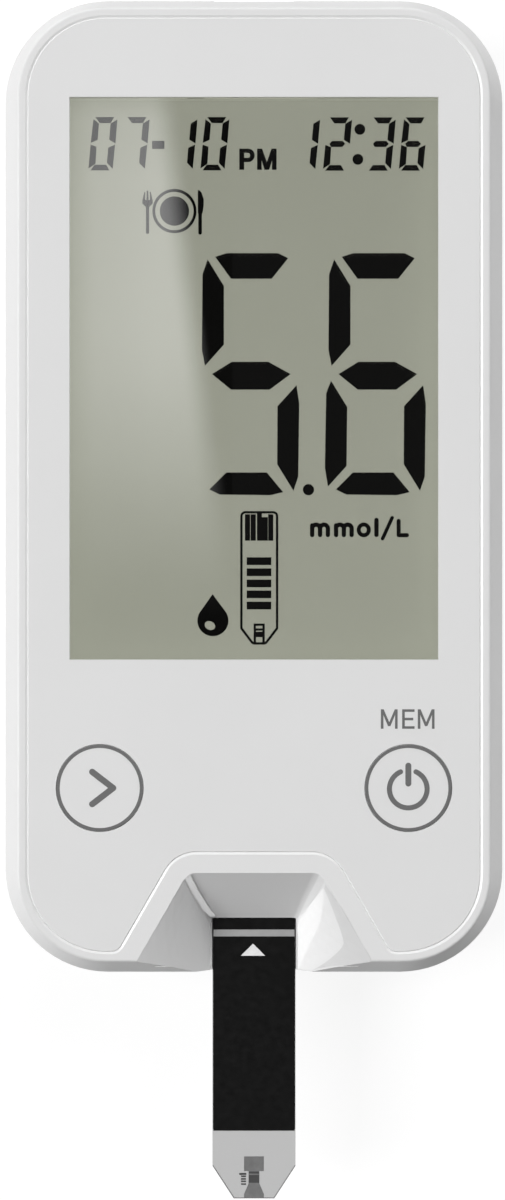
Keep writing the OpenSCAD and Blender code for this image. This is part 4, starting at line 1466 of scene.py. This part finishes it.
        under, foot, floor = top - line, -16.01, low + line
        joined = [(1.05, under), (1.05, -13.73), (1.65, -13.73), (1.65, foot), (0.635, foot), (0.635, under)]
        frame_line = [(0.3, floor), (0.3, -24.38), (1.34, -24.38), (1.34, floor)]
        inside = border(line)
        hollow = inside[:9] + joined + inside[9:21] + frame_line + inside[21:]
        pads = ((-0.57, -0.13), (0.0, 0.445), (1.76, 2.19))
        contacts = [bar(start, foot, end, -13.45) for start, end in pads]
        bars = [bar(-0.39, y - 0.345, 1.99, y + 0.345) for y in (-18.1, -19.21, -20.33, -21.42, -22.54)]
        panes = ((-24.87, -24.53), (-25.2, -25.01), (floor, -25.66))
        window = [bar(0.46, start, 1.18, end) for start, end in panes]
        return [border(0.0), hollow, *contacts, *bars, *window]

    @staticmethod
    def drop() -> list[Outline]:
        """A drop of blood with a light spot in it."""
        outer = [(-3.84, -21.47)] + arc((-3.81, -24.05), 1.515, 144, 396, 44)
        return [outer, disc((-4.11, -24.54), (0.585, 0.465), 36, -25)]

    def dress(self) -> None:
        """Clear window, glasses and films, and the foam that seals them."""
        WINDOW.dress(*nodes("display_window"))
        LCD_GLASS.dress(*nodes("lcd_front_glass", "lcd_rear_glass"))
        POLARISER.dress(*nodes("lcd_front_polariser"))
        REFLECTOR.dress(*nodes("lcd_reflector"))
        FOAM.dress(*nodes("display_gasket", "lcd_connector"))
        INNER_WHITE.dress(*nodes("lcd_holder"))


@dataclass
class Keys(SubAssembly):
    """The two round keys, the marks printed on them and the label above one.

    Attributes:
        reach: how far a key stands from the meter's middle line, in millimetres.
        along: where the keys stand along the meter.
        ring: the printed ring's outer and inner radius.
        bolder: how far the label's letters are widened on each side.
        ink: how thick the print is.
    """

    reach: float = 15.3
    along: float = -30.07
    ring: Point = (4.285, 3.97)
    bolder: float = 0.025
    ink: float = 0.012

    def print_on(self, name: str, node: str, body: str, outlines: Sequence[Outline]) -> None:
        """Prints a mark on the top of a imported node."""
        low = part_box(node)[1].z / MM
        self.add(name, outlines, low, low + self.ink, GREY_INK, body)

    def build(self) -> None:
        """Prints the rings, the arrow, the power mark and the label."""
        left, right = (-self.reach, self.along), (self.reach, self.along)
        arrow = [moved(stroke([(-0.74, 1.6), (1.33, 0), (-0.74, -1.6)], 0.62), *left)]
        circle = stroke(arc((-0.01, -0.1), 1.87, 114, 426, 48), 0.5)
        power = [moved(circle, *right), moved(stroke([(0, 0.44), (0, 2.22)], 0.585), *right)]
        for side, spot, marks in (("next", left, arrow), ("power", right, power)):
            body, cap = side + "_button", side + "_button_cap"
            ring = [disc(spot, radius, 96) for radius in self.ring]
            self.print_on(side + "_ring_print", cap, body, ring)
            self.print_on(side + "_mark_print", cap, body, marks)
        self.print_on("memory_label_print", "faceplate", "meter", grown(self.label(), self.bolder))

    @staticmethod
    def label() -> list[Outline]:
        """The label above the power key.

        Returns:
            Its three letters.
        """
        low, tall, stem, beam = -24.17, 1.88, 0.21, 0.2
        left, right, high, middle = 14.71, 15.89, low + tall, low + tall / 2
        letter = [(left, low), (right, low), (right, low + beam), (left + stem, low + beam)]
        letter += [(left + stem, middle - 0.1), (right - 0.13, middle - 0.1), (right - 0.13, middle + 0.1)]
        letter += [(left + stem, middle + 0.1), (left + stem, high - beam), (right, high - beam)]
        letter += [(right, high), (left, high)]
        first, last = (letter_m((x, low), (1.61, tall), stem, 0.26, 0.1) for x in (12.6, 16.26))
        return [first, letter, last]

    def dress(self) -> None:
        """Key plastic for the caps, black plastic for what they press."""
        KEYCAP.dress(*nodes("next_button_cap", "power_button_cap"))
        INNER_BLACK.dress(*nodes("next_switch_plunger", "power_switch_plunger", "button_switches"))


@dataclass
class Electronics(SubAssembly):
    """The circuit board, its parts, the sockets and the cells.

    Attributes:
        cell_axes: where the two coin cells stand, in millimetres.
    """

    cell_axes: tuple[Point, Point] = ((-10.35, 25.5), (10.35, 25.5))

    def dress(self) -> None:
        """Lacquer, black resin, ceramic, steel and gold."""
        LACQUER.dress(*nodes("main_board"))
        INNER_BLACK.dress(*nodes("microcontroller", "analog_chip", "buzzer"))
        INNER_BLACK.dress(*nodes("strip_connector_body", "data_socket_tongue"))
        CERAMIC.dress(*nodes("chip_parts"))
        STEEL.dress(*nodes("quartz_crystal", "data_socket_shell"))
        GOLD.dress(*nodes("strip_connector_contacts", "negative_contacts", "positive_contacts"))
        for side, (x, y) in zip(("left", "right"), self.cell_axes):
            can = TurnedMetal(f"{side}_cell_steel", (0.6, 0.6, 0.61), 0.3, axis=(x * MM, y * MM))
            can.dress(*nodes(f"{side}_coin_cell"))


@dataclass
class TestStrip(SubAssembly):
    """The test strip and what is printed on it, in millimetres.

    Attributes:
        half_width: half the printed cover's width.
        overlap: how far the cover's black print laps over the clear film.
        bolder: how far the fill scale's lines are widened on each side.
        ink: how thick the print is.
    """

    half_width: float = 4.1
    overlap: float = 0.15
    bolder: float = 0.02
    ink: float = 0.012

    def print_on(self, name: str, outlines: Sequence[Outline], finish: Finish, node: str) -> None:
        """Prints a mark on the top of a layer of the strip."""
        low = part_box(node)[1].z / MM
        self.add(name, outlines, low, low + self.ink, finish, "test_strip")

    def build(self) -> None:
        """Prints the insertion line and arrow, the fill scale, the reagent and the lap, and draws painted
        shade along the tip's edge.
        """
        line = [bar(-self.half_width, -45.46, self.half_width, -44.77)]
        self.print_on("strip_line_print", line, STRIP_GREY, "strip_cover")
        arrow = [[(-1.33, -47.42), (1.13, -47.42), (-0.1, -46.2)]]
        self.print_on("strip_arrow_print", arrow, STRIP_WHITE, "strip_cover")
        ticks = [bar(-1.475, -69.57, -0.8, -69.41)]
        ticks += [bar(-1.29, y - 0.06, -0.83, y + 0.06) for y in (-69.73, -70.0, -70.24, -70.52)]
        self.print_on("strip_scale_print", grown(ticks, self.bolder), REAGENT, "strip_tip_film")
        # A thin dark line along the tip's slanting sides and end, in the carbon ink's colour: painted shade
        # of the film's edge.
        rim = [stroke([(4.158, -68.64), (2.02, -71.92), (-2.02, -71.92), (-4.158, -68.64)], 0.09, Cap.FLAT)]
        self.print_on("strip_tip_edge_shade", rim, CARBON, "strip_tip_film")
        reagent = [bar(-0.52, -70.39, 0.52, -69.6), bar(-0.52, -69.46, 0.52, -69.25)]
        self.print_on("strip_reagent", reagent, REAGENT, "sample_channel")
        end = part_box("strip_cover")[0].y / MM
        lap = [bar(-self.half_width, end - self.overlap, self.half_width, end)]
        self.print_on("strip_cover_edge", lap, STRIP_BLACK, "strip_tip_film")

    def dress(self) -> None:
        """Film, black print and carbon."""
        STRIP_FILM.dress(*nodes("strip_base", "strip_tip_film"))
        STRIP_BLACK.dress(*nodes("strip_cover"))
        CARBON.dress(*nodes("sample_channel", "strip_electrodes"))


# ---------------------------------------------------------------------- studio


@dataclass(frozen=True)
class Softbox:
    """A rectangular lamp that looks at the meter.

    Attributes:
        title: its name.
        bearing: the direction it stands in, in degrees from +X towards +Y.
        rise: how high it stands, in degrees above the table.
        power: its power, in watts.
        size: its width and height, in metres.
        reach: how far from the meter it stands, in metres.
    """

    title: str
    bearing: float
    rise: float
    power: float
    size: Point = (1.25, 1.25)
    reach: float = 2.5

    def build(self, target: Vector) -> bpy.types.Object:
        """Sets up the lamp.

        Args:
            target: the place that it faces.

        Returns:
            The lamp.
        """
        turn, tilt = math.radians(self.bearing), math.radians(self.rise)
        away = Vector((math.cos(turn) * math.cos(tilt), math.sin(turn) * math.cos(tilt), math.sin(tilt)))
        lamp = bpy.data.lights.new(self.title, "AREA")
        lamp.shape, lamp.energy = "RECTANGLE", self.power
        lamp.size, lamp.size_y = self.size
        stand = bpy.data.objects.new(self.title, lamp)
        bpy.context.scene.collection.objects.link(stand)
        stand.location = target + away * self.reach
        stand.visible_camera = False
        stand.rotation_mode = "QUATERNION"
        stand.rotation_quaternion = (-away).to_track_quat("-Z", "Y")
        return stand


def sheet(name: str, low: Point, high: Point) -> bpy.types.Object:
    """A rectangle of one face, at height 0.

    Args:
        name: its name.
        low: its corner with the least X and Y, in metres.
        high: the opposite corner.

    Returns:
        The rectangle.
    """
    mesh = bpy.data.meshes.new(name)
    mesh.from_pydata([(x, y, 0) for x, y in bar(*low, *high)], [], [(0, 1, 2, 3)])
    made = bpy.data.objects.new(name, mesh)
    bpy.context.scene.collection.objects.link(made)
    return made


@dataclass
class Studio:
    """Camera, floor, surroundings and lamps.

    Attributes:
        eye: the camera's place above the meter, in metres.
        lens: its focal length, in millimetres.
        aim: the place that the lamps face, in metres.
        sky: how bright the surroundings are as a light.
        walls: how bright the surroundings look in a polished surface.
        ceiling: how bright they look overhead, as a share of that.
        table_half: half the table's length and width, in metres.
        table_sink: how far it lies under the meter, in metres.
        table_glow: how bright the table looks where no lamp adds to it.
        table_keeps: how much lamplight the table shows, so that it keeps a shadow.
        table_throws: how much lamplight the table throws back on the meter.
        card: the lower left and upper right corner of the window's bright reflection, in metres.
        card_rise: how high over the window the card stands that it shows, in metres.
        lamps: the softboxes that light the housing.
        display_lamp: the softbox that lights the display behind its window.
        accents: pieces that have a small softbox of their own, with that softbox.
        behind_window: the pieces that the display's own lamp lights.
    """

    eye: tuple[float, float, float] = (-0.00015, -0.01143, 0.234)
    lens: float = 66.57
    aim: tuple[float, float, float] = (0.0, 0.0, 0.01)
    sky: float = 0.03
    walls: float = 0.5
    ceiling: float = 0.04
    table_half: float = 2.5
    table_sink: float = 0.00005
    table_glow: float = 0.88
    table_keeps: float = 0.16
    table_throws: float = 0.35
    card: tuple[Point, Point] = ((-0.0195, -0.004), (-0.002, 0.052))
    card_rise: float = 0.33
    lamps: tuple[Softbox, ...] = (
        Softbox("left_low_softbox", 180, 25, 9.1),
        Softbox("left_high_softbox", 180, 40, 56.6),
        Softbox("top_low_softbox", 90, 10, 6.8),
        Softbox("top_high_softbox", 90, 40, 10.2),
        Softbox("back_corner_softbox", 45, 30, 31.4),
        Softbox("right_low_softbox", 0, 15, 6.2),
    )
    display_lamp: Softbox = Softbox("display_softbox", 90, 90, 0.525, (0.02, 0.02), 0.224)
    accents: tuple[tuple[str, Softbox], ...] = (
        ("port_ridge", Softbox("ridge_softbox", 303, 6, 2.3, (0.5, 0.4))),
        ("port_cheek", Softbox("cheek_softbox", 190, 26, 15.0, (0.6, 0.6))),
        ("port_cheek_side", Softbox("cheek_side_softbox", 190, 26, 5.0, (0.6, 0.6))),
    )
    behind_window: Sequence[str] = ()

    def build(self) -> None:
        """Sets up everything that isn't part of the meter."""
        self.camera()
        self.floor()
        self.world()
        self.reflector()
        target = Vector(self.aim)
        display = self.group("display_pieces", self.behind_window)
        others = self.group("all_but_the_display", self.behind_window)
        for entry in others.collection_objects:
            entry.light_linking.link_state = "EXCLUDE"
        for lamp in self.lamps:
            lamp.build(target).light_linking.receiver_collection = others
        self.display_lamp.build(target).light_linking.receiver_collection = display
        for name, lamp in self.accents:
            lamp.build(target).light_linking.receiver_collection = self.group(name + "_light", (name,))
        bpy.context.scene.view_settings.view_transform = "Standard"

    @staticmethod
    def group(title: str, names: Iterable[str]) -> bpy.types.Collection:
        """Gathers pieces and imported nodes, for a lamp to light or to leave out.

        Args:
            title: the collection's name.
            names: the names of what goes into it.

        Returns:
            The collection.
        """
        made = bpy.data.collections.new(title)
        for name in names:
            made.objects.link(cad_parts.get(name) or bpy.data.objects[name])
        return made

    def camera(self) -> None:
        """Looks straight down on the display, with the meter's top upwards."""
        data = bpy.data.cameras.new("camera")
        data.lens, data.sensor_width = self.lens, 36.0
        data.clip_start, data.clip_end = 0.01, 20.0
        stand = bpy.data.objects.new("camera", data)
        stand.location = self.eye
        bpy.context.scene.collection.objects.link(stand)
        bpy.context.scene.camera = stand

    @staticmethod
    def seen(board: Board) -> Socket:
        """Tells the rays that show the surroundings from those that only carry light.

        Args:
            board: the table's tree.

        Returns:
            1 for the first and 0 for the others.
        """
        path = board.node("ShaderNodeLightPath").outputs
        shown = board.maths("MAXIMUM", path["Is Camera Ray"], path["Is Glossy Ray"])
        return board.maths("MAXIMUM", shown, path["Is Transmission Ray"])

    def floor(self) -> None:
        """A wide pale table that keeps a faint shadow."""
        table = sheet("floor", (-self.table_half, -self.table_half), (self.table_half, self.table_half))
        table.location.z = -self.table_sink
        made = bpy.data.materials.new("floor_white")
        board = Board.on(made)
        plain, shadow = (
            board.put("ShaderNodeBsdfDiffuse", {"Color": rgba(PURE_WHITE, share)})[0]
            for share in (self.table_throws, self.table_keeps)
        )
        glow = board.put("ShaderNodeEmission", {"Strength": self.table_glow})[0]
        both = board.put("ShaderNodeAddShader", {0: shadow, 1: glow})[0]
        board.show(board.put("ShaderNodeMixShader", {0: self.seen(board), 1: plain, 2: both})[0])
        table.data.materials.append(made)

    def world(self) -> None:
        """Soft even light, shown as a white room that is darker overhead."""
        world = bpy.data.worlds.new("room")
        board = Board.on(world)
        way = board.node("ShaderNodeTexCoord").outputs["Generated"]
        overhead = board.smooth(board.axes(way)[2], 0.5, 0.95)
        dark = rgba(PURE_WHITE, self.walls * self.ceiling)
        wall = board.blend(overhead, rgba(PURE_WHITE, self.walls), dark)
        path = board.node("ShaderNodeLightPath").outputs
        shown = board.maths("MAXIMUM", path["Is Glossy Ray"], path["Is Transmission Ray"])
        inner = board.blend(shown, rgba(PURE_WHITE, self.sky), wall)
        colour = board.blend(path["Is Camera Ray"], inner, rgba(PURE_WHITE))
        board.show(board.put("ShaderNodeBackground", {"Color": colour})[0], "ShaderNodeOutputWorld")
        bpy.context.scene.world = world

    def reflector(self) -> None:
        """A softly shaded card above the camera that only the display's window mirrors."""
        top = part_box("display_window")[1].z
        grow = 1 + self.card_rise / (self.eye[2] - top)
        card = sheet("reflector_card", *self.card)
        card.location = (self.eye[0], self.eye[1], top + self.card_rise)
        card.scale = (grow, grow, 1)
        card.visible_camera = card.visible_diffuse = card.visible_shadow = False
        card.visible_transmission = card.visible_volume_scatter = False
        card.light_linking.receiver_collection = self.group("mirrors_card", ("display_window",))
        card.data.materials.append(self.card_light())

    @staticmethod
    def card_light(power: float = 2.0) -> bpy.types.Material:
        """The card's glow, which fades over a slanting edge on the right and towards its other sides.

        Args:
            power: how bright it is where nothing dims it.

        Returns:
            The card's material.
        """
        made = bpy.data.materials.new("card_glow")
        made.cycles.emission_sampling = "NONE"
        board = Board.on(made)
        across, along, _ = board.axes(board.place())
        slant = board.maths("ADD", across, board.maths("MULTIPLY", along, 0.123))
        edge, falls = board.smooth(slant, -0.0011, -0.0044), board.smooth(along, -0.002, 0.0297)
        level = board.maths("MULTIPLY", edge, falls)
        for place, *ends in (
            (across, -0.0185, -0.0157, 0.35, 0.8),
            (across, -0.0157, -0.0095, 1.0, 1.25),
            (along, 0.0504, 0.0476, 0.4, 0.86),
            (along, 0.0476, 0.0416, 1.0, 1.16),
        ):
            level = board.maths("MULTIPLY", level, board.spread(place, *ends))
        strength = board.maths("MULTIPLY", level, power)
        board.show(board.put("ShaderNodeEmission", {"Strength": strength})[0])
        return made


def main() -> None:
    """Builds the studio and the meter, and reports each piece."""
    logging.basicConfig(level=logging.INFO, format="%(name)s: %(message)s")
    display = Display()
    assemblies = (Housing(), display, Keys(), Electronics(), TestStrip())
    for assembly in assemblies:
        assembly.build()
        assembly.dress()
        LOG.info("%s: %s", type(assembly).__name__, ", ".join(assembly.made) or "packed nodes only")
    Studio(behind_window=(*display.layers, *display.made)).build()


if __name__ == "__main__":
    main()
